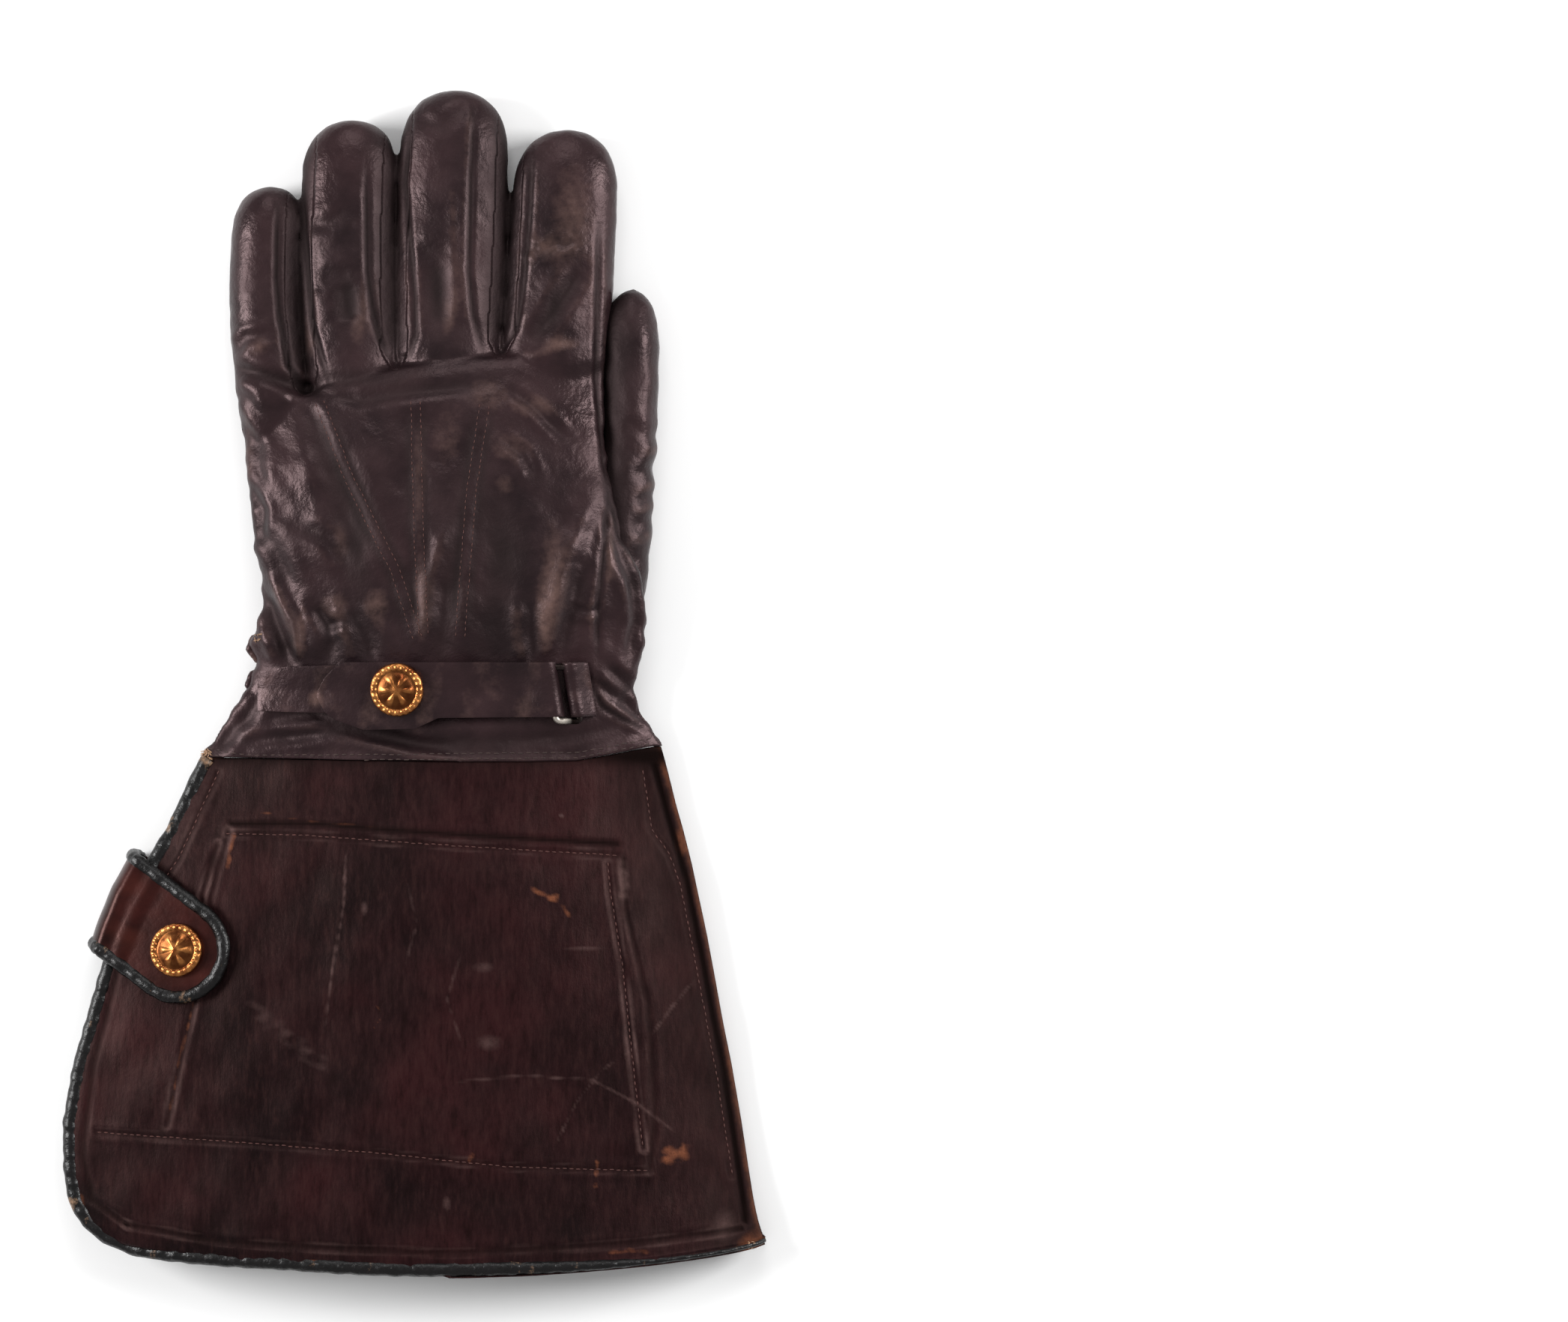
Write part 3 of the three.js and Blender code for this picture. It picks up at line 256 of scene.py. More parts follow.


# The shade colour is multiplied in for painted shade; the worn colour serves rubbed leather and painted
# sheen.
gloveFinish = dict(
    deep="#171012", base="#2a1c1e", worn="#614b45", sheen="#f2cfd0", paintedShade="#38282a", shine=0.35, dull=0.7,
    gloss=[(0.3, 0.24), (0.7, 0.44)],
    patterns=[
        dict(name="patch", size=24, detail=5, rough=0.55), dict(name="fine", size=3.0, detail=6, rough=0.7),
        dict(name="polish", size=12, detail=3, rough=0.55),
        dict(name="crease", size=7.0, detail=5, rough=0.55),
        dict(name="wrinkle", size=2.4, detail=6, rough=0.6),
        dict(name="pore", size=0.9, detail=2, rough=0.55),
    ],
)


def makeGloveLeather():  # soft horsehide, dyed black-brown and waxed: a satin skin with rubbed, browner folds
    f = gloveFinish
    material, tree, shader, layers = startMaterial("waxedHorsehide", f["patterns"], ("rub", "dark"),
                                                   IOR=1.5, Specular_IOR_Level=f["shine"],
                                                   Specular_Tint=linear(f["sheen"]))
    colour = addNode(tree, "ShaderNodeValToRGB", dict(Fac=layers["patch"]),
                     [(0.34, linear(f["deep"])), (0.66, linear(f["base"]))])
    rubbed = addNode(tree, "ShaderNodeMath", {0: layers["rub"], 1: layers["fine"]}, operation="MULTIPLY")
    rubbed = addNode(tree, "ShaderNodeValToRGB", dict(Fac=rubbed), [(0.12, 0.0), (0.7, 1.0)])
    # The rub share brings wear and painted sheen; the dark share multiplies in painted shade.
    coats = [(rubbed, linear(f["worn"]), "MIX"), (layers["dark"], linear(f["paintedShade"]), "MULTIPLY")]
    gloss = addNode(tree, "ShaderNodeValToRGB", dict(Fac=layers["polish"]), f["gloss"])
    dulled = {0: layers["dark"], 6: gloss, 7: (f["dull"], f["dull"], f["dull"], 1)}
    gloss = addNode(tree, "ShaderNodeMix", dulled, output=2, data_type="RGBA")
    reliefs = [(layers["crease"], 0.5), (layers["wrinkle"], 0.14), (layers["pore"], 0.05)]
    dressShader(tree, shader, colour, coats, gloss, reliefs)
    return material


# The shade colour is multiplied in for painted shade; the pale grey colours greyed wear and painted sheen.
cuffFinish = dict(
    deep="#0c0709", base="#1b0d0f", warm="#261113", streak="#35211f", worn="#7e4b33", greyWearAndSheen="#503d3b",
    sheen="#eab4ac", paintedShade="#2c2022", shine=0.17, dull=0.9, gloss=[(0.3, 0.34), (0.7, 0.5)],
    patterns=[
        dict(name="patch", size=36, detail=5, rough=0.55),
        dict(name="streak", size=2.2, detail=8, rough=0.72, stretch=(1.3, 0.3, 1.0)),
        dict(name="fine", size=2.0, detail=7, rough=0.78), dict(name="polish", size=14, detail=4, rough=0.55),
        dict(name="pore", size=0.9, detail=2, rough=0.55),
    ],
)


def makeCuffLeather():  # stiff harness leather, oiled dark brown: streaked along its length and scuffed
    f = cuffFinish
    material, tree, shader, layers = startMaterial("oiledHarnessLeather", f["patterns"],
                                                   ("rub", "greyWearAndSheen", "dark"), IOR=1.5,
                                                   Specular_IOR_Level=f["shine"],
                                                   Specular_Tint=linear(f["sheen"]))
    colour = addNode(tree, "ShaderNodeValToRGB", dict(Fac=layers["patch"]),
                     [(0.36, linear(f["deep"])), (0.52, linear(f["base"])), (0.68, linear(f["warm"]))])
    lightStreaks = addNode(tree, "ShaderNodeValToRGB", dict(Fac=layers["streak"]), [(0.5, 0.0), (0.75, 0.5)])
    darkStreaks = addNode(tree, "ShaderNodeValToRGB", dict(Fac=layers["streak"]), [(0.34, 0.45), (0.5, 1.0)])
    coats = [(lightStreaks, linear(f["streak"]), "MIX"), (1.0, darkStreaks, "MULTIPLY")]
    # the second scuff is greyed wear together with painted sheen
    scuffs = [("rub", "worn", [(0.14, 0.0), (0.75, 1.0)]), ("greyWearAndSheen", "greyWearAndSheen", [(0.06, 0.0), (0.55, 1.0)])]
    for share, finish, stops in scuffs:
        broken = addNode(tree, "ShaderNodeMath", {0: layers[share], 1: layers["fine"]}, operation="MULTIPLY")
        broken = addNode(tree, "ShaderNodeValToRGB", dict(Fac=broken), stops)
        coats.append((broken, linear(f[finish]), "MIX"))
    # painted shade, multiplied in where the dark share is
    coats.append((layers["dark"], linear(f["paintedShade"]), "MULTIPLY"))
    gloss = addNode(tree, "ShaderNodeValToRGB", dict(Fac=layers["polish"]), f["gloss"])
    dulled = {0: layers["dark"], 6: gloss, 7: (f["dull"], f["dull"], f["dull"], 1)}
    gloss = addNode(tree, "ShaderNodeMix", dulled, output=2, data_type="RGBA")
    reliefs = [(layers["streak"], 0.16), (layers["pore"], 0.04), (layers["fine"], 0.05)]
    dressShader(tree, shader, colour, coats, gloss, reliefs)
    return material


tabFinish = dict(
    deep="#140606", base="#2b0e0c", worn="#55281f", sheen="#f0b8b0",
    shine=0.28, gloss=[(0.3, 0.26), (0.7, 0.38)],
    patterns=[dict(name="patch", size=12, detail=5, rough=0.55),
              dict(name="crease", size=3.0, detail=4, rough=0.55)],
)


def makeTabLeather():  # the same harness leather, but rubbed smooth and red by the hand that opens it
    f = tabFinish
    material, tree, shader, layers = startMaterial("burnishedHarnessLeather", f["patterns"], ("rub",),
                                                   IOR=1.5, Specular_IOR_Level=f["shine"],
                                                   Specular_Tint=linear(f["sheen"]))
    colour = addNode(tree, "ShaderNodeValToRGB", dict(Fac=layers["patch"]),
                     [(0.36, linear(f["deep"])), (0.62, linear(f["base"]))])
    rubbed = addNode(tree, "ShaderNodeValToRGB", dict(Fac=layers["rub"]), [(0.3, 0.0), (0.9, 0.6)])
    gloss = addNode(tree, "ShaderNodeValToRGB", dict(Fac=layers["patch"]), f["gloss"])
    dressShader(tree, shader, colour, [(rubbed, linear(f["worn"]), "MIX")], gloss, [(layers["crease"], 0.12)])
    return material


bindingFinish = dict(
    deep="#060505", base="#0f0c0d", worn="#94755c", shine=0.35, gloss=[(0.3, 0.22), (0.7, 0.4)],
    patterns=[
        dict(name="patch", size=6, detail=5, rough=0.55), dict(name="fine", size=1.6, detail=6, rough=0.75),
        dict(name="crease", size=2.6, detail=5, rough=0.55),
    ],
)


def makeBindingLeather():  # thin black calf, rolled over the edge: shiny on its crest, with frayed spots
    f = bindingFinish
    material, tree, shader, layers = startMaterial("rolledCalf", f["patterns"], ("rub",), IOR=1.5,
                                                   Specular_IOR_Level=f["shine"])
    colour = addNode(tree, "ShaderNodeValToRGB", dict(Fac=layers["patch"]),
                     [(0.35, linear(f["deep"])), (0.7, linear(f["base"]))])
    rubbed = addNode(tree, "ShaderNodeMath", {0: layers["rub"], 1: layers["fine"]}, operation="MULTIPLY")
    rubbed = addNode(tree, "ShaderNodeValToRGB", dict(Fac=rubbed), [(0.38, 0.0), (0.62, 0.9)])
    gloss = addNode(tree, "ShaderNodeValToRGB", dict(Fac=layers["fine"]), f["gloss"])
    dressShader(tree, shader, colour, [(rubbed, linear(f["worn"]), "MIX")], gloss, [(layers["crease"], 0.5)])
    return material


threadFinish = dict(
    red="#57302a", brown="#3e2a26", bare="#b48d6e", hollow=0.45,
    patterns=[dict(name="twist", size=1.2, detail=3, rough=0.55)],
)


def makeThread(name, shade):  # waxed linen, twisted: matt with a slight sheen
    f = threadFinish
    material, tree, shader, layers = startMaterial(name, f["patterns"], Roughness=0.7)
    light = linear(f[shade])
    dark = tuple(part * f["hollow"] for part in light[:3]) + (1.0,)
    colour = addNode(tree, "ShaderNodeValToRGB", dict(Fac=layers["twist"]), [(0.3, dark), (0.7, light)])
    dressShader(tree, shader, colour, [])
    return material


brassFinish = dict(
    bright="#cf8c50", base="#8c4d2b", dark="#522a17", gloss=[(0.3, 0.2), (0.7, 0.42)],
    patterns=[dict(name="patch", size=3.0, detail=5, rough=0.55),
              dict(name="pit", size=1.0, detail=4, rough=0.55)],
)


def makeBrass():  # pressed brass, lacquer gone: bright on the relief, brown in the hollows
    f = brassFinish
    material, tree, shader, layers = startMaterial("pressedBrass", f["patterns"], ("rub",), Metallic=1.0)
    colour = addNode(tree, "ShaderNodeValToRGB", dict(Fac=layers["patch"]),
                     [(0.35, linear(f["base"])), (0.65, linear(f["bright"]))])
    hollow = addNode(tree, "ShaderNodeValToRGB", dict(Fac=layers["rub"]), [(0.25, 1.0), (0.6, 0.0)])
    gloss = addNode(tree, "ShaderNodeValToRGB", dict(Fac=layers["patch"]), f["gloss"])
    dressShader(tree, shader, colour, [(hollow, linear(f["dark"]), "MIX")], gloss, [(layers["pit"], 0.05)])
    return material


steelFinish = dict(
    deep="#1c1614", base="#3a3230", bright="#d8cfc4", gloss=[(0.3, 0.5), (0.7, 0.3)],
    patterns=[dict(name="patch", size=2.0, detail=5, rough=0.55)],
)


def makeSteel():  # drawn steel wire: tarnished nearly black, bright where it is rubbed and where a glint is painted
    f = steelFinish
    material, tree, shader, layers = startMaterial("drawnSteel", f["patterns"], ("rub",), Metallic=1.0)
    colour = addNode(tree, "ShaderNodeValToRGB", dict(Fac=layers["patch"]),
                     [(0.38, linear(f["deep"])), (0.6, linear(f["base"]))])
    rubbed = addNode(tree, "ShaderNodeValToRGB", dict(Fac=layers["rub"]), [(0.3, 0.0), (0.8, 1.0)])
    gloss = addNode(tree, "ShaderNodeValToRGB", dict(Fac=layers["patch"]), f["gloss"])
    dressShader(tree, shader, colour, [(rubbed, linear(f["bright"]), "MIX")], gloss)
    return material


gloveLeather = makeGloveLeather()
cuffLeather = makeCuffLeather()
tabLeather = makeTabLeather()
bindingLeather = makeBindingLeather()
brass = makeBrass()
steel = makeSteel()
redThread = makeThread("waxedLinenRed", "red")
darkThread = makeThread("waxedLinenBrown", "brown")
paleThread = makeThread("bareLinen", "bare")
print("materials done")


def spotsAt(points, rows):  # spots of wear, painted sheen and painted shade, each placed and measured in the photograph's pixels
    total = np.zeros(len(points))
    for row in rows:
        x, y = spot(row["x"], row["y"])
        reach = photo["mmPerPixel"]
        across = (points[:, 0] - x) / (row["wide"] * reach)
        along = (points[:, 1] - y) / (row["high"] * reach)
        total += row["share"] * np.exp(-(across ** 2 + along ** 2))
    return total


def mottle(piece, base, swing, size, seed, wear=()):  # how rubbed a piece is, in patches of about this size
    points, _ = meshPoints(piece)
    setShare(piece, "rub", base + swing * noiseArray(points, size, seed) + spotsAt(points, wear))


def finishPiece(obj, material, slotName, *nodes):
    obj.data.materials.clear()
    obj.data.materials.append(material)
    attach(obj, "root")
    if nodes:
        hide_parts(*nodes)


# The hand

hand = dict(wall=1.2, palmWidth=106, palmLength=98, palmHeight=26, knuckleDrop=29, knuckleX=0.3,
            wristDrop=22.5, wristHeight=19, thumbHeight=15.5, tuckedFrom=0.28, beyond=4, underside=0.45,
            voxel=0.8, smoothTimes=6, seamBeyond=20)
handRows = [
    dict(along=-1.000, left=-0.612, right=0.700, high=0.98, midL=0.45, midR=0.26, crown=1.9, arc=0, rise=0),
    dict(along=-0.720, left=-0.562, right=0.672, high=0.94, midL=0.45, midR=0.32, crown=1.5, arc=0, rise=0),
    dict(along=-0.420, left=-0.515, right=0.636, high=0.97, midL=0.45, midR=0.40, crown=1.2, arc=0, rise=0),
    dict(along=-0.130, left=-0.478, right=0.620, high=0.97, midL=0.45, midR=0.44, crown=1.05, arc=0, rise=0),
    dict(along=0.030, left=-0.462, right=0.628, high=0.76, midL=0.45, midR=0.44, crown=1.0, arc=0, rise=0),
    dict(along=0.065, left=-0.452, right=0.642, high=0.78, midL=0.45, midR=0.44, crown=1.0, arc=0, rise=0),
    dict(along=0.112, left=-0.474, right=0.652, high=0.83, midL=0.45, midR=0.44, crown=1.0, arc=0, rise=0.1),
    dict(along=0.160, left=-0.444, right=0.657, high=0.87, midL=0.45, midR=0.45, crown=0.95, arc=0, rise=0.2),
    dict(along=0.245, left=-0.431, right=0.655, high=0.93, midL=0.45, midR=0.48, crown=0.92, arc=0.05,
         rise=0.4),
    dict(along=0.335, left=-0.433, right=0.636, high=0.97, midL=0.45, midR=0.54, crown=0.9, arc=0.1,
         rise=0.6),
    dict(along=0.435, left=-0.450, right=0.598, high=1.00, midL=0.45, midR=0.58, crown=0.88, arc=0.2,
         rise=0.78),
    dict(along=0.575, left=-0.460, right=0.566, high=0.985, midL=0.44, midR=0.58, crown=0.86, arc=0.35,
         rise=0.7),
    dict(along=0.735, left=-0.474, right=0.538, high=0.93, midL=0.44, midR=0.54, crown=0.84, arc=0.6,
         rise=0.5),
    dict(along=0.880, left=-0.482, right=0.540, high=0.845, midL=0.43, midR=0.46, crown=0.86, arc=0.9,
         rise=0.2),
    dict(along=0.960, left=-0.488, right=0.542, high=0.785, midL=0.45, midR=0.46, crown=0.9, arc=1, rise=0),
    dict(along=0.990, left=-0.480, right=0.530, high=0.72, midL=0.52, midR=0.52, crown=0.95, arc=1, rise=0),
    dict(along=1.000, left=-0.440, right=0.490, high=0.54, midL=0.68, midR=0.68, crown=1, arc=1, rise=0),
]
fingers = [
    dict(name="pinky", width=21, length=64, rootX=-0.402, rootY=0.862, lean=-0.03, bow=-0.11),
    dict(name="ring", width=28.6, length=76, rootX=-0.172, rootY=0.944, lean=-0.02, bow=-0.07),
    dict(name="middle", width=32.6, length=80, rootX=0.089, rootY=0.995, lean=0.08, bow=0.01),
    dict(name="index", width=31.5, length=68, rootX=0.394, rootY=0.995, lean=0.125, bow=0.02),
]
fingerShape = dict(height=18, root=15, tip=0.62, power=2.3, tipRun=1.6, tipHigh=0.55, middle=0.48,
                   back=0.95, underside=0.6, gap=1.1, spread=1.8, press=0.55, tipLift=1.6)
fingerRows = [
    dict(along=0.00, wide=0.80, high=0.86),
    dict(along=0.21, wide=1.02, high=1.05),
    dict(along=0.50, wide=1.03, high=1.00),
    dict(along=1.00, wide=1.00, high=0.98),
]
thumb = dict(width=16, length=100.7, height=15.5, edge=0.693, root=0.175, wall=1.2, underside=0.6,
             openAt=1.5, voxel=1.4, smoothTimes=4, tipLift=1.8, sole=1.5, lipAway=2.2, pucker=0.25,
             puckerSize=10, lip=0.15, lipRub=0.25, shade=0.9, shadeWide=7)
thumbRows = [
    dict(along=0.00, left=-1.35, right=-0.42, high=0.86),
    dict(along=0.10, left=-1.50, right=-0.24, high=0.98),
    dict(along=0.22, left=-1.45, right=-0.16, high=1.02),
    dict(along=0.38, left=-1.32, right=-0.10, high=1.02),
    dict(along=0.54, left=-1.08, right=-0.04, high=1.00),
    dict(along=0.72, left=-1.04, right=0.00, high=1.00),
    dict(along=0.84, left=-1.05, right=0.00, high=0.98),
    dict(along=0.90, left=-1.02, right=-0.03, high=0.94),
    dict(along=0.95, left=-0.93, right=-0.12, high=0.84),
    dict(along=0.98, left=-0.80, right=-0.26, high=0.70),
    dict(along=1.00, left=-0.62, right=-0.40, high=0.52),
]


def sectionOf(row):
    below = row["along"] < 0
    high = row["high"] * (hand["wristHeight"] if below else hand["palmHeight"])
    return dict(
        y=row["along"] * (hand["wristDrop"] if below else hand["palmLength"]),
        left=row["left"] * hand["palmWidth"],
        right=row["right"] * hand["palmWidth"],
        high=high,
        midL=row["midL"] * high,
        midR=row["midR"] * high,
        crown=row["crown"],
        arc=row["arc"],
        rise=row["rise"] * hand["thumbHeight"],
    )


handSections = [sectionOf(row) for row in handRows]


def knuckleArc(x):
    return -hand["knuckleDrop"] * (x / hand["palmWidth"] - hand["knuckleX"]) ** 2


# The hem between hand and cuff, as it bends in the photograph: how far it lies up or down at a place across.
hemRows = [dict(x=-65, up=-0.4), dict(x=-20, up=-1.2), dict(x=20, up=-1.6), dict(x=49, up=-1.4),
           dict(x=60, up=0.6), dict(x=71.5, up=2.8)]
hem = dict(fade=18)


def hemShift(x, y):
    up = np.interp(x, [row["x"] for row in hemRows], [row["up"] for row in hemRows])
    return up * smoothArray(1 - np.abs(y + hand["wristDrop"]) / hem["fade"])


def handPlace(u, v):  # u runs round the hand, v from past the cuff's seam to the knuckles
    section = readTable(handSections, "y", lerp(-hand["wristDrop"] - hand["beyond"], hand["palmLength"], v))
    angle = u * 2 * math.pi
    x = (section["left"] + section["right"]) / 2 + (section["right"] - section["left"]) / 2 * math.cos(angle)
    y = section["y"] + section["arc"] * knuckleArc(x)
    middle = lerp(section["midL"], section["midR"], (math.cos(angle) + 1) / 2)
    lift = abs(math.sin(angle))
    if math.sin(angle) > 0:
        return x, y, middle + (section["high"] - middle) * lift ** section["crown"]
    start = hand["tuckedFrom"] * hand["palmWidth"]
    bed = section["rise"] * smooth((x - start) / (section["right"] - start))
    return x, y, middle - (middle - bed) * lift ** hand["underside"]


def fingerAxis(finger, y):
    share = (y - finger["rootY"] * hand["palmLength"]) / finger["length"]
    bow = finger["bow"] * math.sin(math.pi * min(max(share, 0), 1))
    return finger["rootX"] * hand["palmWidth"] + (finger["lean"] * max(share, 0) + bow) * finger["width"]


def contactX(near, far, y):  # where two neighbouring fingers press against each other
    return (fingerAxis(near, y) + near["width"] / 2 + fingerAxis(far, y) - far["width"] / 2) / 2


def fingerPlace(finger):
    shape = fingerShape
    tip = shape["tip"] * finger["width"]
    straight = finger["length"] - tip + shape["root"]
    middle = shape["height"] * shape["middle"]
    number = fingers.index(finger)

    def between(x, y, z):
        gap = shape["gap"] * (shape["spread"] * abs(z / middle - 1) - shape["press"])
        if number > 0:
            x = max(x, contactX(fingers[number - 1], finger, y) + gap)
        if number < len(fingers) - 1:
            x = min(x, contactX(finger, fingers[number + 1], y) - gap)
        return x

    def place(u, v):
        run = v * (straight + tip)
        if run < straight:
            row = readTable(fingerRows, "along", run / straight)
            wide, high = row["wide"], row["high"]
        else:
            step = 1 - max(1 - (run - straight) / tip, 0) ** shape["tipRun"]
            run = straight + step * tip
            wide = max(1 - step ** shape["power"], 0.0001) ** (1 / shape["power"])
            high = lerp(shape["tipHigh"], fingerRows[-1]["high"], wide)
        y = finger["rootY"] * hand["palmLength"] - shape["root"] + run
        angle = u * 2 * math.pi
        lift = abs(math.sin(angle))
        x = fingerAxis(finger, y) + wide * finger["width"] / 2 * math.cos(angle)
        flat = lerp(middle, 0, min(wide * shape["tipLift"], 1))  # the tip rises from what the finger lies on
        if math.sin(angle) > 0:
            z = middle + (high * shape["height"] - middle) * lift ** shape["back"]
        else:
            z = middle - (middle - flat) * lift ** shape["underside"]
        return between(x, y, z), y, z

    return place


def thumbPlace(u, v):
    row = readTable(thumbRows, "along", v)
    edge = thumb["edge"] * hand["palmWidth"]
    left = edge + row["left"] * thumb["width"]
    right = edge + row["right"] * thumb["width"]
    closed = 1.0 if v < 0.999 else 0.05  # the last ring closes the tip
    y = thumb["root"] * hand["palmLength"] + v * thumb["length"]
    angle = u * 2 * math.pi
    lift = abs(math.sin(angle)) * closed
    middle = thumb["height"] * fingerShape["middle"]
    top = row["high"] * thumb["height"]
    flat = lerp(middle, 0, min((right - left) / thumb["width"] * thumb["tipLift"], 1))
    x = (left + right) / 2 + (right - left) / 2 * math.cos(angle) * closed
    if math.sin(angle) > 0:
        return x, y, middle + (top - middle) * lift
    return x, y, middle - (middle - flat) * abs(math.sin(angle)) ** thumb["underside"] * closed


# Folds of the back of the hand, each a line in the photograph. deep is a hollow in millimetres, or a ridge
# where it is negative; wide is half its width; lip is how much the leather rises beside it.
handFolds = [
    dict(line=[(300, 488), (360, 504), (435, 527)], deep=1.5, wide=2.0, lip=0.3),
    dict(line=[(435, 527), (480, 536), (560, 524), (650, 514)], deep=0.9, wide=2.0, lip=0.2),
    dict(line=[(775, 361), (748, 405), (712, 455)], deep=1.5, wide=2.6, lip=0.6),
    dict(line=[(700, 330), (722, 338), (748, 326)], deep=0.6, wide=1.5, lip=0.5),
    dict(line=[(688, 525), (715, 545), (755, 585)], deep=0.7, wide=1.5, lip=0.6),
    dict(line=[(675, 590), (700, 608), (716, 640)], deep=0.6, wide=1.6, lip=0.5),
    dict(line=[(462, 380), (470, 430)], deep=1.5, wide=4.0, lip=0.5),
    dict(line=[(480, 385), (487, 440)], deep=-0.9, wide=2.0, lip=0.0),
    dict(line=[(582, 345), (590, 440)], deep=1.3, wide=4.0, lip=0.4),
    dict(line=[(606, 240), (608, 400), (600, 440)], deep=-0.6, wide=1.8, lip=0.0),
    dict(line=[(629, 140), (628, 230)], deep=-0.4, wide=1.0, lip=0.0),
    dict(line=[(560, 160), (590, 170), (630, 142)], deep=0.4, wide=2.2, lip=0.2),
    dict(line=[(706, 330), (716, 342), (730, 334)], deep=-0.5, wide=1.2, lip=0.0),
    dict(line=[(744, 322), (754, 330), (768, 322)], deep=0.4, wide=1.2, lip=0.4),
    dict(line=[(690, 470), (712, 476), (760, 462)], deep=-0.5, wide=1.6, lip=0.0),
    dict(line=[(318, 560), (345, 600), (352, 660)], deep=0.6, wide=2.0, lip=0.4),
    dict(line=[(330, 640), (352, 680), (350, 720)], deep=0.7, wide=1.6, lip=0.5),
    dict(line=[(420, 810), (440, 836), (470, 826)], deep=0.7, wide=1.6, lip=0.5),
    dict(line=[(405, 700), (440, 720), (470, 760)], deep=0.6, wide=2.0, lip=0.4),
    dict(line=[(412, 300), (440, 302), (465, 280)], deep=0.5, wide=2.0, lip=0.3),
    dict(line=[(430, 370), (470, 366)], deep=0.5, wide=2.6, lip=0.2),
    dict(line=[(560, 338), (605, 336)], deep=0.4, wide=2.4, lip=0.2),
    dict(line=[(315, 470), (330, 452), (362, 448)], deep=0.5, wide=1.6, lip=0.5),
    dict(line=[(312, 520), (335, 535), (350, 560)], deep=0.4, wide=1.6, lip=0.3),
    dict(line=[(412, 540), (430, 590), (448, 655)], deep=0.8, wide=3.0, lip=0.3),
    dict(line=[(452, 600), (470, 700), (480, 760)], deep=1.0, wide=4.5, lip=0.5),
    dict(line=[(345, 700), (372, 735), (392, 790)], deep=0.6, wide=2.5, lip=0.5),
    dict(line=[(352, 790), (376, 850), (388, 884)], deep=1.6, wide=2.2, lip=1.0),
    dict(line=[(366, 770), (398, 830), (404, 884)], deep=-1.2, wide=1.6, lip=0.0),
    dict(line=[(430, 800), (445, 850), (440, 884)], deep=0.9, wide=2.6, lip=0.6),
    dict(line=[(470, 810), (492, 850), (500, 884)], deep=0.8, wide=2.6, lip=0.6),
    dict(line=[(600, 700), (580, 770), (572, 850)], deep=-1.3, wide=2.6, lip=0.0),
    dict(line=[(600, 770), (590, 880)], deep=0.9, wide=3.4, lip=0.4),
    dict(line=[(655, 640), (670, 740), (660, 880)], deep=1.0, wide=6.0, lip=0.3),
    dict(line=[(795, 660), (757, 745), (735, 860)], deep=-1.7, wide=3.4, lip=0.0),
    dict(line=[(775, 760), (762, 820), (752, 880)], deep=1.0, wide=3.0, lip=0.5),
    dict(line=[(690, 800), (688, 850), (700, 884)], deep=-0.7, wide=2.4, lip=0.0),
    dict(line=[(710, 800), (716, 880)], deep=0.7, wide=2.0, lip=0.4),
    dict(line=[(770, 812), (790, 815), (800, 812)], deep=0.5, wide=1.2, lip=0.5),
    dict(line=[(815, 690), (832, 745), (850, 800)], deep=0.7, wide=1.8, lip=0.6),
    dict(line=[(845, 760), (850, 830), (838, 880)], deep=0.7, wide=1.6, lip=0.6),
    dict(line=[(330, 962), (420, 952), (560, 985), (700, 985), (830, 975)], deep=1.1, wide=2.0, lip=0.7),
    dict(line=[(300, 990), (450, 972), (620, 998), (760, 1000), (850, 985)], deep=0.8, wide=1.6, lip=0.5),
    dict(line=[(285, 1000), (330, 955), (350, 930)], deep=0.9, wide=2.0, lip=0.6),
    dict(line=[(790, 905), (830, 935), (865, 970)], deep=0.8, wide=1.8, lip=0.6),
    dict(line=[(810, 890), (835, 915), (846, 930)], deep=1.0, wide=2.0, lip=0.7),
]
# Seams in the back of the hand, each a groove with a lip on both sides.
seams = [
    dict(line=[(372, 272), (371, 373), (375, 422), (387, 490), (407, 516), (428, 521)], deep=0.9, wide=0.8),
    dict(line=[(404, 250), (407, 305), (413, 378), (419, 437), (431, 478), (442, 512)], deep=0.9, wide=0.8),
    dict(line=[(490, 225), (492, 364), (498, 411), (510, 458), (524, 482)], deep=0.8, wide=0.8),
    dict(line=[(549, 160), (541, 247), (548, 320), (555, 393), (557, 446), (548, 474), (530, 483)], deep=0.9,
         wide=0.8),
    dict(line=[(632, 140), (629, 282), (627, 364), (633, 422), (646, 472)], deep=0.8, wide=0.8),
    dict(line=[(711, 195), (706, 305), (697, 393), (690, 440), (668, 472)], deep=0.9, wide=0.8),
    dict(line=[(800, 300), (798, 440), (797, 499), (803, 587), (814, 660)], deep=0.8, wide=0.8),
    dict(line=[(814, 660), (811, 700), (799, 807), (798, 880)], deep=0.9, wide=0.8),
    dict(line=[(814, 665), (832, 715), (856, 763)], deep=0.9, wide=0.8),
    dict(line=[(782, 884), (788, 915), (804, 943), (865, 984)], deep=0.8, wide=0.9),
]
tucks = [
    dict(line=[(430, 540), (470, 640), (531, 760), (560, 850)], high=0.2, wide=1.5),
    dict(line=[(558, 540), (562, 680), (569, 850)], high=0.2, wide=1.5),
    dict(line=[(649, 545), (633, 653), (617, 850)], high=0.2, wide=1.5),
]
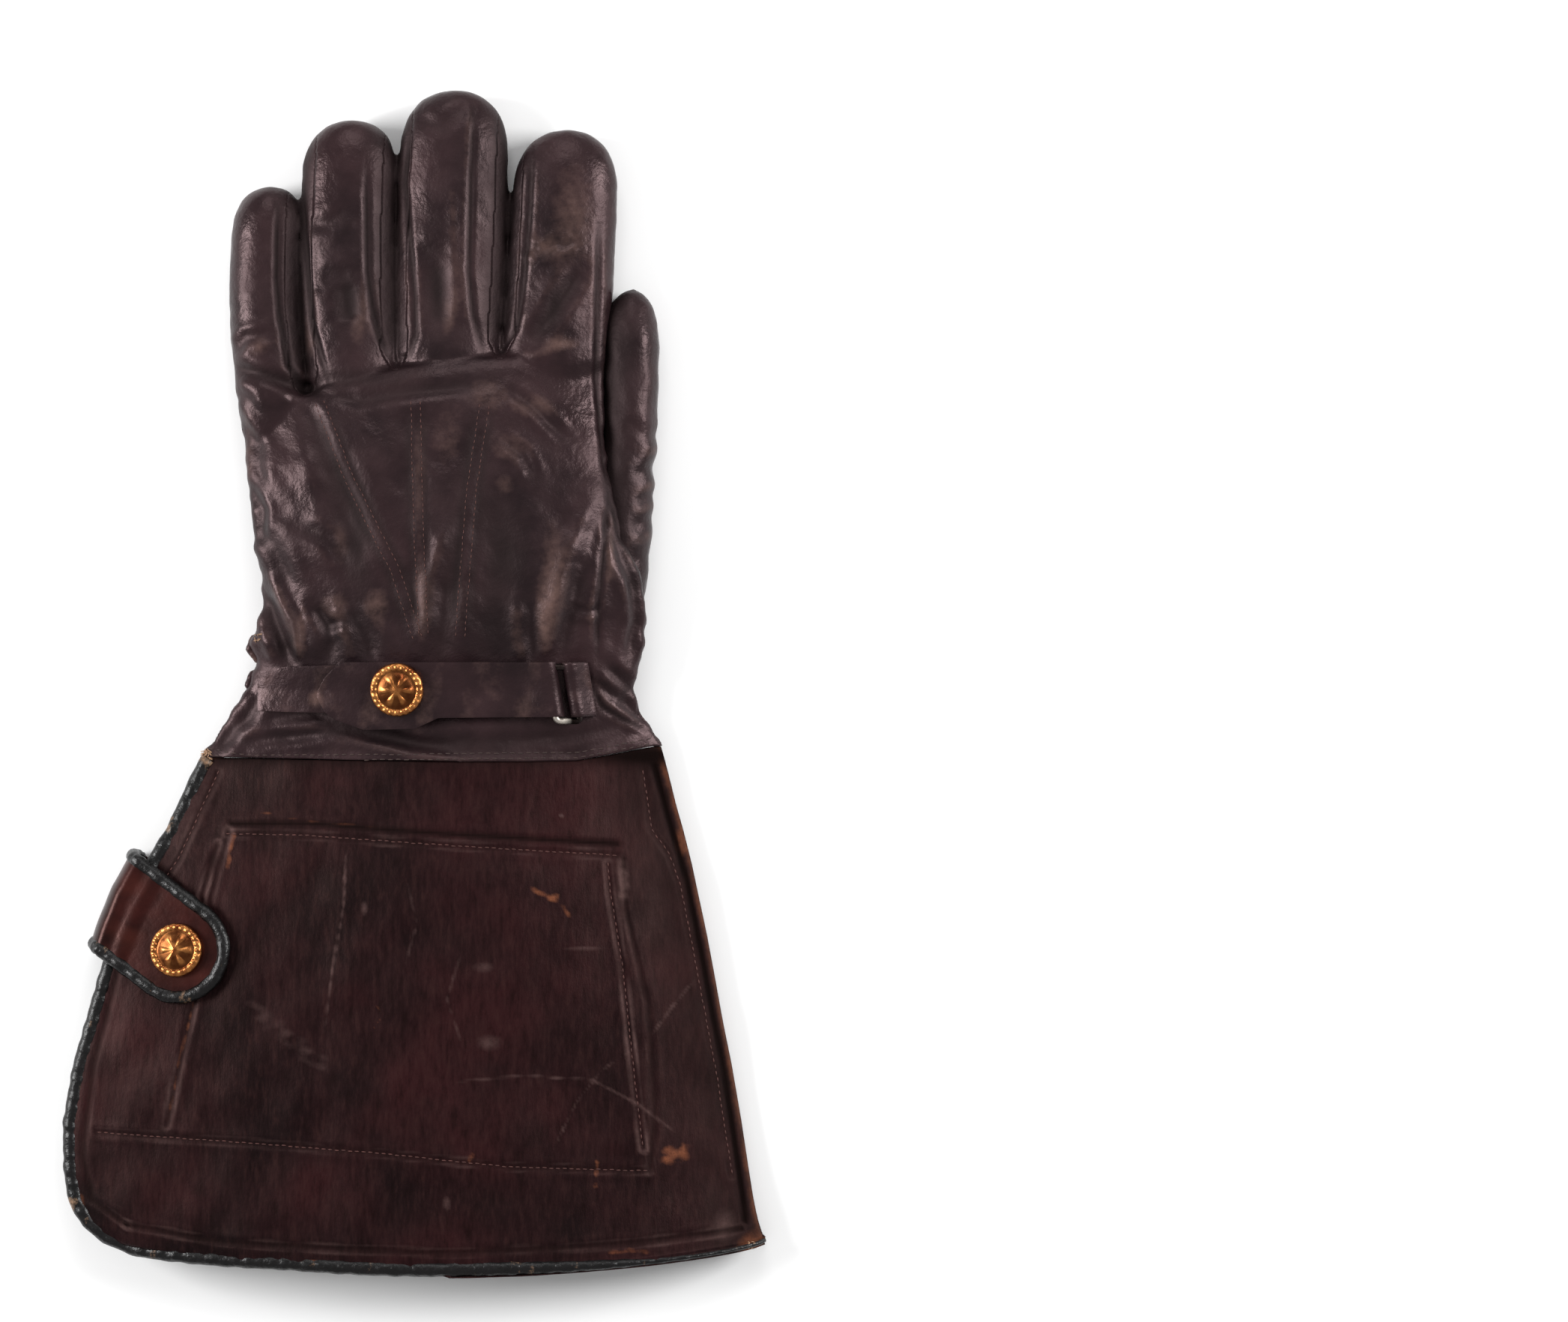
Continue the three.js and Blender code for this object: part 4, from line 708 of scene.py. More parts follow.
# What a fold, a seam and a tuck do beside their lines. away and wide are in millimetres, a fold's away in
# its own widths; rub and the painted shade in and beside the hollow are shares.
foldSide = dict(away=1.9, steep=4, least=0.25, rub=0.32, shadeAmount=0.45)
seamSide = dict(deep=0.7, lip=0.14, away=1.9, wide=0.9, steep=5, least=0.2, rub=0.25, shadeAmount=0.8, shadeSpread=0.8)
tuckSide = dict(groove=0.14, away=2.6, wide=1.0, steep=8, rub=0.15, shadeAmount=0.6, shadeOffset=2.0, shadeSpread=1.6)


def photoLine(row):
    return [spot(*place) for place in row["line"]]


# Browned and rubbed spots of the hand in the photograph, some of them painted sheen, with their reach in
# pixels.
handWearAndSheen = [
    dict(x=769, y=285, wide=26, high=60, share=0.42), dict(x=752, y=460, wide=24, high=9, share=0.6),
    dict(x=731, y=331, wide=15, high=8, share=0.6), dict(x=600, y=422, wide=12, high=34, share=0.5),
    dict(x=480, y=439, wide=12, high=24, share=0.55), dict(x=413, y=457, wide=9, high=24, share=0.5),
    dict(x=349, y=462, wide=17, high=16, share=0.5), dict(x=717, y=544, wide=32, high=15, share=0.5),
    dict(x=652, y=527, wide=30, high=28, share=0.5), dict(x=600, y=585, wide=24, high=44, share=0.42),
    dict(x=565, y=643, wide=11, high=84, share=0.4), dict(x=682, y=597, wide=32, high=22, share=0.42),
    dict(x=676, y=649, wide=15, high=15, share=0.5), dict(x=507, y=807, wide=17, high=24, share=0.6),
    dict(x=565, y=800, wide=11, high=42, share=0.6), dict(x=740, y=748, wide=14, high=64, share=0.45),
    dict(x=728, y=818, wide=10, high=42, share=0.6), dict(x=448, y=807, wide=20, high=15, share=0.5),
    dict(x=460, y=725, wide=10, high=32, share=0.45), dict(x=816, y=742, wide=8, high=42, share=0.4),
    dict(x=407, y=836, wide=6, high=32, share=0.5), dict(x=332, y=600, wide=12, high=60, share=0.35),
    dict(x=762, y=300, wide=62, high=135, share=0.2), dict(x=590, y=230, wide=40, high=90, share=0.1),
]
# Places of the hand that stay dark and dull in the photograph.
handShades = [
    dict(x=480, y=506, wide=80, high=14, share=0.5), dict(x=483, y=725, wide=16, high=74, share=0.55),
    dict(x=607, y=745, wide=15, high=64, share=0.5), dict(x=680, y=745, wide=30, high=44, share=0.45),
    dict(x=395, y=850, wide=7, high=32, share=0.6), dict(x=818, y=610, wide=8, high=70, share=0.6),
    dict(x=740, y=405, wide=10, high=26, share=0.5), dict(x=470, y=400, wide=9, high=26, share=0.5),
    dict(x=585, y=385, wide=10, high=30, share=0.5),
]


def tapered(along, steep, least=0.0):  # a line fades towards both its ends
    return np.clip(steep * np.minimum(along, 1 - along) + least, 0, 1)


def foldHeights(points):  # how far each point of the back moves, how much it is rubbed, and how much painted shade lies in and beside its hollows
    moved, rubbed, paintedShade = np.zeros(len(points)), np.zeros(len(points)), np.zeros(len(points))
    for row in handFolds:
        away, along = awayFromLine(points, photoLine(row))
        taper = tapered(along, foldSide["steep"], foldSide["least"])
        wave = bell(away, row["wide"]) * taper
        beside = bell(away - foldSide["away"] * row["wide"], row["wide"]) * taper
        moved += -row["deep"] * wave + row["lip"] * beside
        rubbed += (wave if row["deep"] < 0 else beside * row["lip"]) * foldSide["rub"]
        paintedShade += max(row["deep"], 0) * foldSide["shadeAmount"] * wave
    for row in seams:
        away, along = awayFromLine(points, photoLine(row))
        taper = tapered(along, seamSide["steep"], seamSide["least"])
        lip = bell(away - seamSide["away"], seamSide["wide"]) * taper
        moved += seamSide["lip"] * lip - seamSide["deep"] * row["deep"] * bell(away, row["wide"]) * taper
        rubbed += lip * seamSide["rub"]
        paintedShade += seamSide["shadeAmount"] * bell(away, seamSide["shadeSpread"]) * taper
    for row in tucks:
        away, along = awayFromLine(points, photoLine(row))
        taper = tapered(along, tuckSide["steep"])
        crest = bell(away, row["wide"])
        groove = tuckSide["groove"] * bell(away - tuckSide["away"], tuckSide["wide"])
        moved += (row["high"] * crest - groove) * taper
        rubbed += crest * taper * tuckSide["rub"]
        paintedShade += tuckSide["shadeAmount"] * bell(away - tuckSide["shadeOffset"], tuckSide["shadeSpread"]) * taper
    return moved, rubbed, paintedShade


def makeHandForm():
    parts = [gridBody("palmForm", 72, 90, handPlace, fillEnds=True)]
    for finger in fingers:
        parts.append(gridBody(finger["name"] + "Form", 40, 60, fingerPlace(finger), fillEnds=True))
    form = joinObjects("handForm", parts)
    withModifier(form, "REMESH", mode="VOXEL", voxel_size=hand["voxel"] * mm, use_smooth_shade=True)
    withModifier(form, "SMOOTH", factor=0.5, iterations=hand["smoothTimes"])
    bm = bmesh.new()
    bm.from_mesh(form.data)
    seam = (0, -hand["wristDrop"] * mm, 0)
    everything = bm.verts[:] + bm.edges[:] + bm.faces[:]
    bmesh.ops.bisect_plane(bm, geom=everything, plane_co=seam, plane_no=(0, 1, 0), clear_inner=True)
    bpy.data.objects.remove(form)
    return newObject("handForm", bm)


def seamHeight(points):  # the height of the side seams where each point lies
    rows = handSections[:-2]
    places = [row["y"] for row in rows] + [hand["palmLength"] + hand["seamBeyond"]]
    fingerMiddle = fingerShape["middle"] * fingerShape["height"]
    lefts = np.interp(points[:, 1], places, [row["midL"] for row in rows] + [fingerMiddle])
    rights = np.interp(points[:, 1], places, [row["midR"] for row in rows] + [fingerMiddle])
    share = np.clip(points[:, 0] / hand["palmWidth"] + 0.5, 0, 1)
    return lefts + (rights - lefts) * share


# The strips between the fingers, and the shade in which they lie.
fork = dict(strip=3.6, overlap=0.4, foot=1.5, openOver=9, openBy=2, above=2.9, reach=120, shade=0.85,
            shadeLeft=6.5, shadeRight=3.2, shadeOver=10)


def forkShares(points):  # for each point the number of the fork that it belongs to, or -1
    result = np.full(len(points), -1)
    for number, (near, far) in enumerate(zip(fingers, fingers[1:])):
        crotch = contactX(near, far, hand["palmLength"])
        foot = hand["palmLength"] + knuckleArc(crotch) - fork["foot"]
        ys = np.linspace(foot, foot + fork["reach"], fork["reach"])
        half = fork["strip"] * smoothArray((ys - foot + fork["openBy"]) / fork["openOver"]) + fork["overlap"]
        middle = np.array([contactX(near, far, y) for y in ys])
        away = np.abs(points[:, 0] - np.interp(points[:, 1], ys, middle))
        inside = away < np.interp(points[:, 1], ys, half)
        result[inside & (points[:, 1] > foot) & (points[:, 2] > fork["above"])] = number
    return result


def forkShade(points):  # the sides of the fingers lie in each other's shade
    total = np.zeros(len(points))
    for near, far in zip(fingers, fingers[1:]):
        foot = hand["palmLength"] + knuckleArc(contactX(near, far, hand["palmLength"]))
        away = points[:, 0] - np.array([contactX(near, far, y) for y in points[:, 1]])
        reach = np.where(away < 0, fork["shadeLeft"], fork["shadeRight"])
        total += bell(away, reach) * smoothArray((points[:, 1] - foot) / fork["shadeOver"])
    return fork["shade"] * total


def keepFaces(obj, name, keep):
    bm = bmesh.new()
    bm.from_mesh(obj.data)
    bm.faces.ensure_lookup_table()
    gone = [face for face, stays in zip(bm.faces, keep) if not stays]
    bmesh.ops.delete(bm, geom=gone, context="FACES")
    return newObject(name, bm)


# The unevenness of the hand's leather, in millimetres; the fingers, from calmFrom on, are smoother.
handSkin = dict(fine=0.16, fineSize=9, broad=0.35, broadSize=22, side=0.35, sideSize=7, sideCrowd=1.6,
                calm=0.75, calmFrom=80, calmOver=20, edgeWearAndSheen=0.12, sole=2, hemOver=1.5, upSteep=1.6,
                upLeast=0.1, sideShare=0.4, lowest=0.02)


def makeHand():
    skin = handSkin
    form = makeHandForm()
    points, normals = meshPoints(form)
    up = smoothArray(normals[:, 2] * skin["upSteep"] + skin["upLeast"])
    steep = 1 - np.abs(normals[:, 2])
    above = np.where(points[:, 2] < skin["sole"], 0.0, 1.0)
    calm = 1 - skin["calm"] * smoothArray((points[:, 1] - skin["calmFrom"]) / skin["calmOver"])
    moved, rubbed, paintedShade = foldHeights(points)
    puckers = noiseArray(points, skin["fineSize"], 3) * skin["fine"]
    puckers = (puckers + noiseArray(points, skin["broadSize"], 4) * skin["broad"]) * calm
    sides = steep * noiseArray(points * [1, skin["sideCrowd"], 1], skin["sideSize"], 9) * skin["side"] * calm
    puckers = puckers * lerp(skin["sideShare"], 1, up)
    offset = (moved * up + (puckers + sides) * above)[:, None] * normals
    offset[:, 2] = np.maximum(offset[:, 2], skin["lowest"] - points[:, 2])
    offset[:, 1] *= np.clip((points[:, 1] + hand["wristDrop"]) / skin["hemOver"], 0, 1)
    offset[:, 1] += hemShift(points[:, 0], points[:, 1])
    centres = np.empty(len(form.data.polygons) * 3)
    form.data.polygons.foreach_get("center", centres)
    centres = centres.reshape(-1, 3) / mm
    setPoints(form, points + offset)
    # rub: wear on the folds, and wear with painted sheen on the edges and at the listed spots
    setShare(form, "rub", (rubbed + spotsAt(points, handWearAndSheen) + skin["edgeWearAndSheen"] * steep) * up)
    # dark: painted shade in the hollows, at the shaded places and between the fingers
    setShare(form, "dark", (paintedShade + spotsAt(points, handShades)) * up + forkShade(points))
    forkOf = forkShares(centres)
    upper = centres[:, 2] > seamHeight(centres)
    tree = surfaceOf(form)
    fronts = [finger["name"] + "_front" for finger in fingers]
    choices = [
        ("HandBack", upper & (forkOf < 0), ["hand_back"]),
        ("HandPalm", ~upper & (forkOf < 0), ["hand_palm"] + fronts),
    ]
    for number, (near, far) in enumerate(zip(fingers, fingers[1:])):
        node = "fork_%s_%s" % (near["name"], far["name"])
        choices.append(("Fork%s%s" % (near["name"].title(), far["name"].title()), forkOf == number, [node]))
    for name, keep, nodes in choices:
        piece = keepFaces(form, name, keep)
        withModifier(piece, "SOLIDIFY", thickness=hand["wall"] * mm, offset=-1)
        finishPiece(piece, gloveLeather, "glove_leather", *nodes)
    bpy.data.objects.remove(form)
    return tree


thumbFolds = [
    dict(line=[(846, 570), (862, 584), (880, 580)], deep=0.45, wide=1.8),
    dict(line=[(856, 632), (878, 622)], deep=0.6, wide=2.2),
    dict(line=[(858, 668), (874, 658)], deep=0.3, wide=1.4),
    dict(line=[(852, 700), (872, 690)], deep=0.4, wide=1.8),
    dict(line=[(846, 748), (868, 742)], deep=0.35, wide=2.4),
]


def makeThumb():
    piece = gridBody("thumbBody", 40, 80, thumbPlace, fillEnds=True)
    withModifier(piece, "REMESH", mode="VOXEL", voxel_size=thumb["voxel"] * mm, use_smooth_shade=True)
    withModifier(piece, "SMOOTH", factor=0.5, iterations=thumb["smoothTimes"])
    withModifier(piece, "SUBSURF", levels=1, render_levels=1)
    points, normals = meshPoints(piece)
    moved = noiseArray(points, thumb["puckerSize"], 12) * thumb["pucker"]
    above = np.where(points[:, 2] < thumb["sole"], 0.0, 1.0)
    rubbed = np.zeros(len(points))
    for row in thumbFolds:
        away, _ = awayFromLine(points, photoLine(row))
        lip = bell(away - thumb["lipAway"] * row["wide"], row["wide"])
        moved += thumb["lip"] * lip - row["deep"] * bell(away, row["wide"])
        rubbed += thumb["lipRub"] * lip
    setPoints(piece, points + (moved * above)[:, None] * normals)
    setShare(piece, "rub", rubbed)
    inner = thumb["edge"] * hand["palmWidth"] - thumb["width"]
    setShare(piece, "dark", thumb["shade"] * bell(np.maximum(points[:, 0] - inner, 0), thumb["shadeWide"]))
    start = thumb["root"] * hand["palmLength"] + thumb["openAt"]
    opened = keepFaces(piece, "thumb_body", [face.center.y / mm > start for face in piece.data.polygons])
    bpy.data.objects.remove(piece)
    withModifier(opened, "SOLIDIFY", thickness=thumb["wall"] * mm, offset=-1)
    finishPiece(opened, gloveLeather, "glove_leather", "thumb")


handTree = makeHand()
makeThumb()
print("hand done")


# The cuff

cuff = dict(wall=2.2, length=155, mouthWidth=211, mouthHeight=25, mouthBow=8.3, openSide=8, gap=0.3,
            bindingWidth=4.7, bindingLip=1.0, frontStep=0.85, rearStep=2.2, bowPower=0.7, highBy=0.25,
            liftBy=0.3, rimFrom=0.78, rimOver=0.12)
cuffRows = [
    dict(along=0.000, left=-0.306, right=0.350, high=0.745, crown=0.95, bow=0),
    dict(along=0.070, left=-0.330, right=0.366, high=0.80, crown=0.92, bow=0),
    dict(along=0.140, left=-0.353, right=0.381, high=0.86, crown=0.88, bow=0),
    dict(along=0.210, left=-0.384, right=0.394, high=0.91, crown=0.85, bow=0),
    dict(along=0.280, left=-0.412, right=0.405, high=0.95, crown=0.82, bow=0),
    dict(along=0.350, left=-0.432, right=0.416, high=0.97, crown=0.8, bow=0),
    dict(along=0.430, left=-0.450, right=0.427, high=0.99, crown=0.78, bow=0),
    dict(along=0.520, left=-0.469, right=0.439, high=1.00, crown=0.76, bow=0),
    dict(along=0.600, left=-0.486, right=0.451, high=1.00, crown=0.75, bow=0.1),
    dict(along=0.710, left=-0.500, right=0.465, high=1.00, crown=0.75, bow=0.3),
    dict(along=0.800, left=-0.499, right=0.475, high=1.00, crown=0.75, bow=0.55),
    dict(along=0.860, left=-0.492, right=0.482, high=1.00, crown=0.75, bow=0.72),
    dict(along=0.900, left=-0.474, right=0.488, high=1.00, crown=0.75, bow=0.85),
    dict(along=0.928, left=-0.449, right=0.494, high=1.00, crown=0.75, bow=0.94),
    dict(along=0.946, left=-0.420, right=0.500, high=1.00, crown=0.75, bow=1),
]
cuffDents = [
    dict(x=-0.20, along=0.30, wide=0.10, depth=0.05),
    dict(x=0.22, along=0.62, wide=0.12, depth=0.05),
    dict(x=-0.05, along=0.80, wide=0.10, depth=-0.04),
]
alongEnd = cuffRows[-1]["along"]
seamY = -hand["wristDrop"] - cuff["gap"]


def cuffSection(along):
    row = readTable(cuffRows, "along", along)
    rear = cuff["wall"] + cuff["gap"]
    rimLift = 2 * cuff["bindingLip"] + cuff["gap"]
    first = handSections[0]
    return dict(
        left=row["left"] * cuff["mouthWidth"],
        right=row["right"] * cuff["mouthWidth"],
        high=lerp(first["high"], row["high"] * cuff["mouthHeight"], smooth(along / cuff["highBy"])),
        crown=row["crown"],
        bow=row["bow"] * cuff["mouthBow"],
        liftL=lerp(first["midL"] - cuff["wall"], rear + cuff["openSide"], smooth(along / cuff["liftBy"])),
        liftR=rear + rimLift * smooth((along - cuff["rimFrom"]) / cuff["rimOver"]),
    )


def cuffY(section, along, share):
    bow = section["bow"] * math.sin(math.pi * min(max(share, 0), 1)) ** cuff["bowPower"]
    y = seamY - along * cuff["length"] - bow
    return y + float(hemShift(lerp(section["left"], section["right"], share), y))


def frontHeight(section, along, share, x):
    edge = lerp(section["liftL"], section["liftR"], share) + cuff["wall"]
    vault = max(1 - (2 * share - 1) ** 2, 0) ** section["crown"]
    z = edge + (section["high"] - edge) * vault
    for dent in cuffDents:
        dx = (x - dent["x"] * cuff["mouthWidth"]) / (dent["wide"] * cuff["mouthWidth"])
        dy = (along - dent["along"]) * cuff["length"] / (dent["wide"] * cuff["mouthWidth"])
        z -= dent["depth"] * cuff["mouthHeight"] * math.exp(-dx * dx - dy * dy) * vault
    return z


def alongAt(y):
    return min(max((seamY - y) / cuff["length"], 0), alongEnd)


def shareAcross(section, x):
    return min(max((x - section["left"]) / (section["right"] - section["left"]), 0), 1)


def frontTop(x, y):
    along = alongAt(y)
    section = cuffSection(along)
    return frontHeight(section, along, shareAcross(section, x), x)


tab = dict(width=32, wall=1.8, foot=24, x=-70.2, y=-80.5, angle=144, lip=0.7, rim=4.2, bulge=3.5, over=0.35,
           liftMargin=13, liftFall=14, mostReach=60, rimOver=3, rimInside=1.5, curl=1.1, openRun=1.85,
           centreRun=0.42, rimSteps=60, reachStep=0.1, tip=0.3)
tabOut = Vector((math.cos(math.radians(tab["angle"])), math.sin(math.radians(tab["angle"]))))
tabAcross = Vector((tabOut.y, -tabOut.x))


def tabPlace(out, across):
    return tab["x"] + out * tabOut.x + across * tabAcross.x, tab["y"] + out * tabOut.y + across * tabAcross.y


def edgeReach(across):
    out = 0.0
    while out < tab["mostReach"]:
        x, y = tabPlace(out, across)
        if x < cuffSection((seamY - y) / cuff["length"])["left"]:
            return out
        out += tab["reachStep"]
    return out


reachRows = [(across, edgeReach(across)) for across in range(-18, 19, 3)]


def reachAt(across):
    return float(np.interp(across, [row[0] for row in reachRows], [row[1] for row in reachRows]))


tabReach = (reachAt(-16) + reachAt(16)) / 2


def footLift(x, y):
    offset = Vector((x - tab["x"], y - tab["y"]))
    out = offset.dot(tabOut) - tabReach + tab["foot"]
    across = abs(offset.dot(tabAcross)) - tab["width"] / 2
    inner = smooth(1 + (out + tab["liftMargin"]) / tab["liftFall"])
    high = tab["wall"] + cuff["gap"] + cuff["bindingLip"]
    return high * inner * smooth(1 - (across - tab["liftMargin"]) / tab["liftFall"])


def panelPlan(u, v, inset):
    along = u * alongEnd
    section = cuffSection(along)
    x = lerp(section["left"] + inset, section["right"], v)
    share = shareAcross(section, x)
    return x, cuffY(section, along, share) + (inset if u > 0.99 else 0), along, section, share


def frontPlace(u, v):
    x, y, along, section, share = panelPlan(u, v, cuff["bindingWidth"] / 4)
    return x, y, frontHeight(section, along, share, x)


def rearPlace(u, v):
    x, y, _, _, _ = panelPlan(u, v, cuff["bindingWidth"] / 4)
    return x, y, cuff["wall"] + footLift(x, y)


# Lines pressed or sewn into the cuff. pull is how deep a line lies, dark how much painted shade lies in its
# groove, light how much greyed wear and painted sheen its inner lip carries; sewn lines carry stitches.
cuffLines = [
    dict(line=[(310, 1099), (417, 1098), (560, 1109), (700, 1118), (825, 1126)], pull=0.5, dark=0.9,
         light=0.1, sewn=0),
    dict(line=[(306, 1112), (417, 1114), (560, 1124), (700, 1133), (825, 1141)], pull=0.3, dark=0.2,
         light=0.4, sewn=1),
    dict(line=[(832, 1146), (837, 1215), (852, 1280), (866, 1340), (874, 1485), (868, 1560)], pull=0.3,
         dark=0.4, light=0.3, sewn=0),
    dict(line=[(862, 1560), (680, 1552), (506, 1533), (340, 1521), (131, 1509)], pull=0.3, dark=0.3,
         light=0.4, sewn=1),
    dict(line=[(812, 1153), (816, 1194), (825, 1249), (832, 1292), (848, 1440), (859, 1530)], pull=0.3,
         dark=0.0, light=0.9, sewn=1),
    dict(line=[(292, 1127), (272, 1194), (262, 1335), (226, 1498)], pull=0.4, dark=0.4, light=0.6, sewn=0),
    dict(line=[(306, 1108), (283, 1200), (270, 1300)], pull=0.25, dark=0.3, light=0.5, sewn=0),
    dict(line=[(290, 1031), (239, 1146), (190, 1215)], pull=0.3, dark=0.3, light=0.4, sewn=1),
    dict(line=[(160, 1290), (126, 1420), (112, 1540), (126, 1600), (172, 1632)], pull=0.3, dark=0.5,
         light=0.2, sewn=0),
    dict(line=[(172, 1632), (300, 1653), (600, 1666), (850, 1655), (990, 1640)], pull=0.35, dark=0.5,
         light=0.5, sewn=0),
    dict(line=[(873, 1023), (890, 1086), (916, 1175), (940, 1298), (966, 1429), (986, 1563), (995, 1630)],
         pull=0.5, dark=1.0, light=0.0, sewn=0),
    dict(line=[(858, 1031), (869, 1107), (893, 1140), (908, 1183), (925, 1270), (957, 1440), (977, 1570)],
         pull=0.15, dark=0.0, light=0.3, sewn=1),
]
# Rubbed marks and scratches of the cuff, as lines: wide is half the width in millimetres.
cuffScratches = [
    dict(line=[(315, 1108), (309, 1135), (305, 1168)], wide=0.9, share=0.9, kind="rub"),
    dict(line=[(262, 1335), (244, 1410), (229, 1490)], wide=0.45, share=0.9, kind="rub"),
    dict(line=[(830, 1152), (834, 1180), (832, 1200)], wide=1.2, share=1.6, kind="greyWearAndSheen"),
    dict(line=[(810, 1668), (840, 1664), (868, 1668)], wide=0.7, share=0.8, kind="rub"),
    dict(line=[(975, 1676), (1000, 1672), (1014, 1660)], wide=1.4, share=1.4, kind="rub"),
    dict(line=[(710, 1182), (735, 1196), (750, 1192)], wide=0.9, share=0.9, kind="rub"),
    dict(line=[(735, 1196), (752, 1206), (762, 1222)], wide=0.8, share=0.8, kind="rub"),
    dict(line=[(884, 1546), (897, 1540), (918, 1534)], wide=2.4, share=1.5, kind="rub"),
    dict(line=[(799, 1541), (797, 1565), (795, 1590)], wide=0.7, share=0.8, kind="rub"),
    dict(line=[(632, 1530), (628, 1545), (640, 1532)], wide=0.6, share=0.7, kind="rub"),
    dict(line=[(505, 1336), (516, 1350), (500, 1372)], wide=0.5, share=0.5, kind="rub"),
    dict(line=[(870, 1380), (900, 1340), (925, 1310)], wide=0.6, share=0.7, kind="greyWearAndSheen"),
    dict(line=[(740, 1530), (770, 1470), (800, 1430), (840, 1400)], wide=0.5, share=0.5, kind="greyWearAndSheen"),
    dict(line=[(600, 1440), (700, 1432), (790, 1438), (850, 1470), (915, 1520)], wide=0.5, share=0.6,
         kind="greyWearAndSheen"),
    dict(line=[(465, 1130), (463, 1200), (448, 1290), (436, 1380)], wide=0.5, share=0.7, kind="greyWearAndSheen"),
    dict(line=[(330, 1330), (400, 1390), (450, 1430)], wide=3.0, share=0.35, kind="greyWearAndSheen"),
    dict(line=[(620, 1265), (600, 1330), (620, 1390)], wide=0.6, share=0.4, kind="greyWearAndSheen"),
    dict(line=[(546, 1170), (560, 1230), (540, 1300)], wide=0.6, share=0.4, kind="greyWearAndSheen"),
    dict(line=[(330, 1080), (420, 1096), (520, 1103)], wide=0.5, share=0.5, kind="rub"),
    dict(line=[(400, 1676), (470, 1684), (535, 1686)], wide=0.7, share=1.0, kind="rub"),
    dict(line=[(480, 1700), (492, 1688), (520, 1684)], wide=0.8, share=0.9, kind="rub"),
]
# Worn and greyed spots of the cuff in the photograph, the greyed ones partly painted sheen, with their reach
# in pixels.
cuffWear = [
    dict(x=1000, y=1660, wide=14, high=12, share=1.0, kind="rub"),
    dict(x=909, y=1124, wide=6, high=12, share=2.2, kind="rub"),
    dict(x=100, y=1605, wide=13, high=15, share=1.2, kind="rub"),
    dict(x=285, y=1003, wide=12, high=8, share=1.1, kind="rub"),
    dict(x=968, y=1635, wide=15, high=18, share=0.8, kind="greyWearAndSheen"),
    dict(x=656, y=1388, wide=16, high=10, share=0.6, kind="greyWearAndSheen"),
    dict(x=648, y=1288, wide=14, high=7, share=0.5, kind="greyWearAndSheen"),
    dict(x=780, y=1264, wide=24, high=3, share=0.6, kind="greyWearAndSheen"),
    dict(x=750, y=1088, wide=3, high=3, share=1.0, kind="greyWearAndSheen"),
    dict(x=490, y=1210, wide=4, high=8, share=0.8, kind="greyWearAndSheen"),
    dict(x=600, y=1600, wide=5, high=8, share=0.7, kind="greyWearAndSheen"),
    dict(x=240, y=1080, wide=60, high=80, share=0.25, kind="greyWearAndSheen"),
    dict(x=200, y=1440, wide=60, high=60, share=0.2, kind="greyWearAndSheen"),
    dict(x=870, y=1220, wide=30, high=60, share=0.2, kind="greyWearAndSheen"),
]


# The unevenness of the cuff's leather, in millimetres, and what a pressed line, its lip and the edge do.
cuffSkin = dict(broad=0.35, broadSize=24, fine=0.08, fineSize=9, rub=0.04, rubSize=30, lineWide=0.8,
                lip=0.12, lipAway=2.0, lipWide=1.0, paleAway=1.3, paleWide=0.6, edgeWearAndSheen=0.85, edgeWide=1.0,
                innerRub=0.22, innerAway=2.4, innerWide=1.6, hemShade=0.7, hemWide=3.0, sideShade=0.4,
                sideFrom=3, sideOver=22, broken=0.6, brokenSwing=0.5, brokenSize=14, ragged=0.75,
                raggedSwing=0.5, raggedSize=4, markSteep=6, markLeast=0.3, edgeSwing=0.4, edgeSize=16)


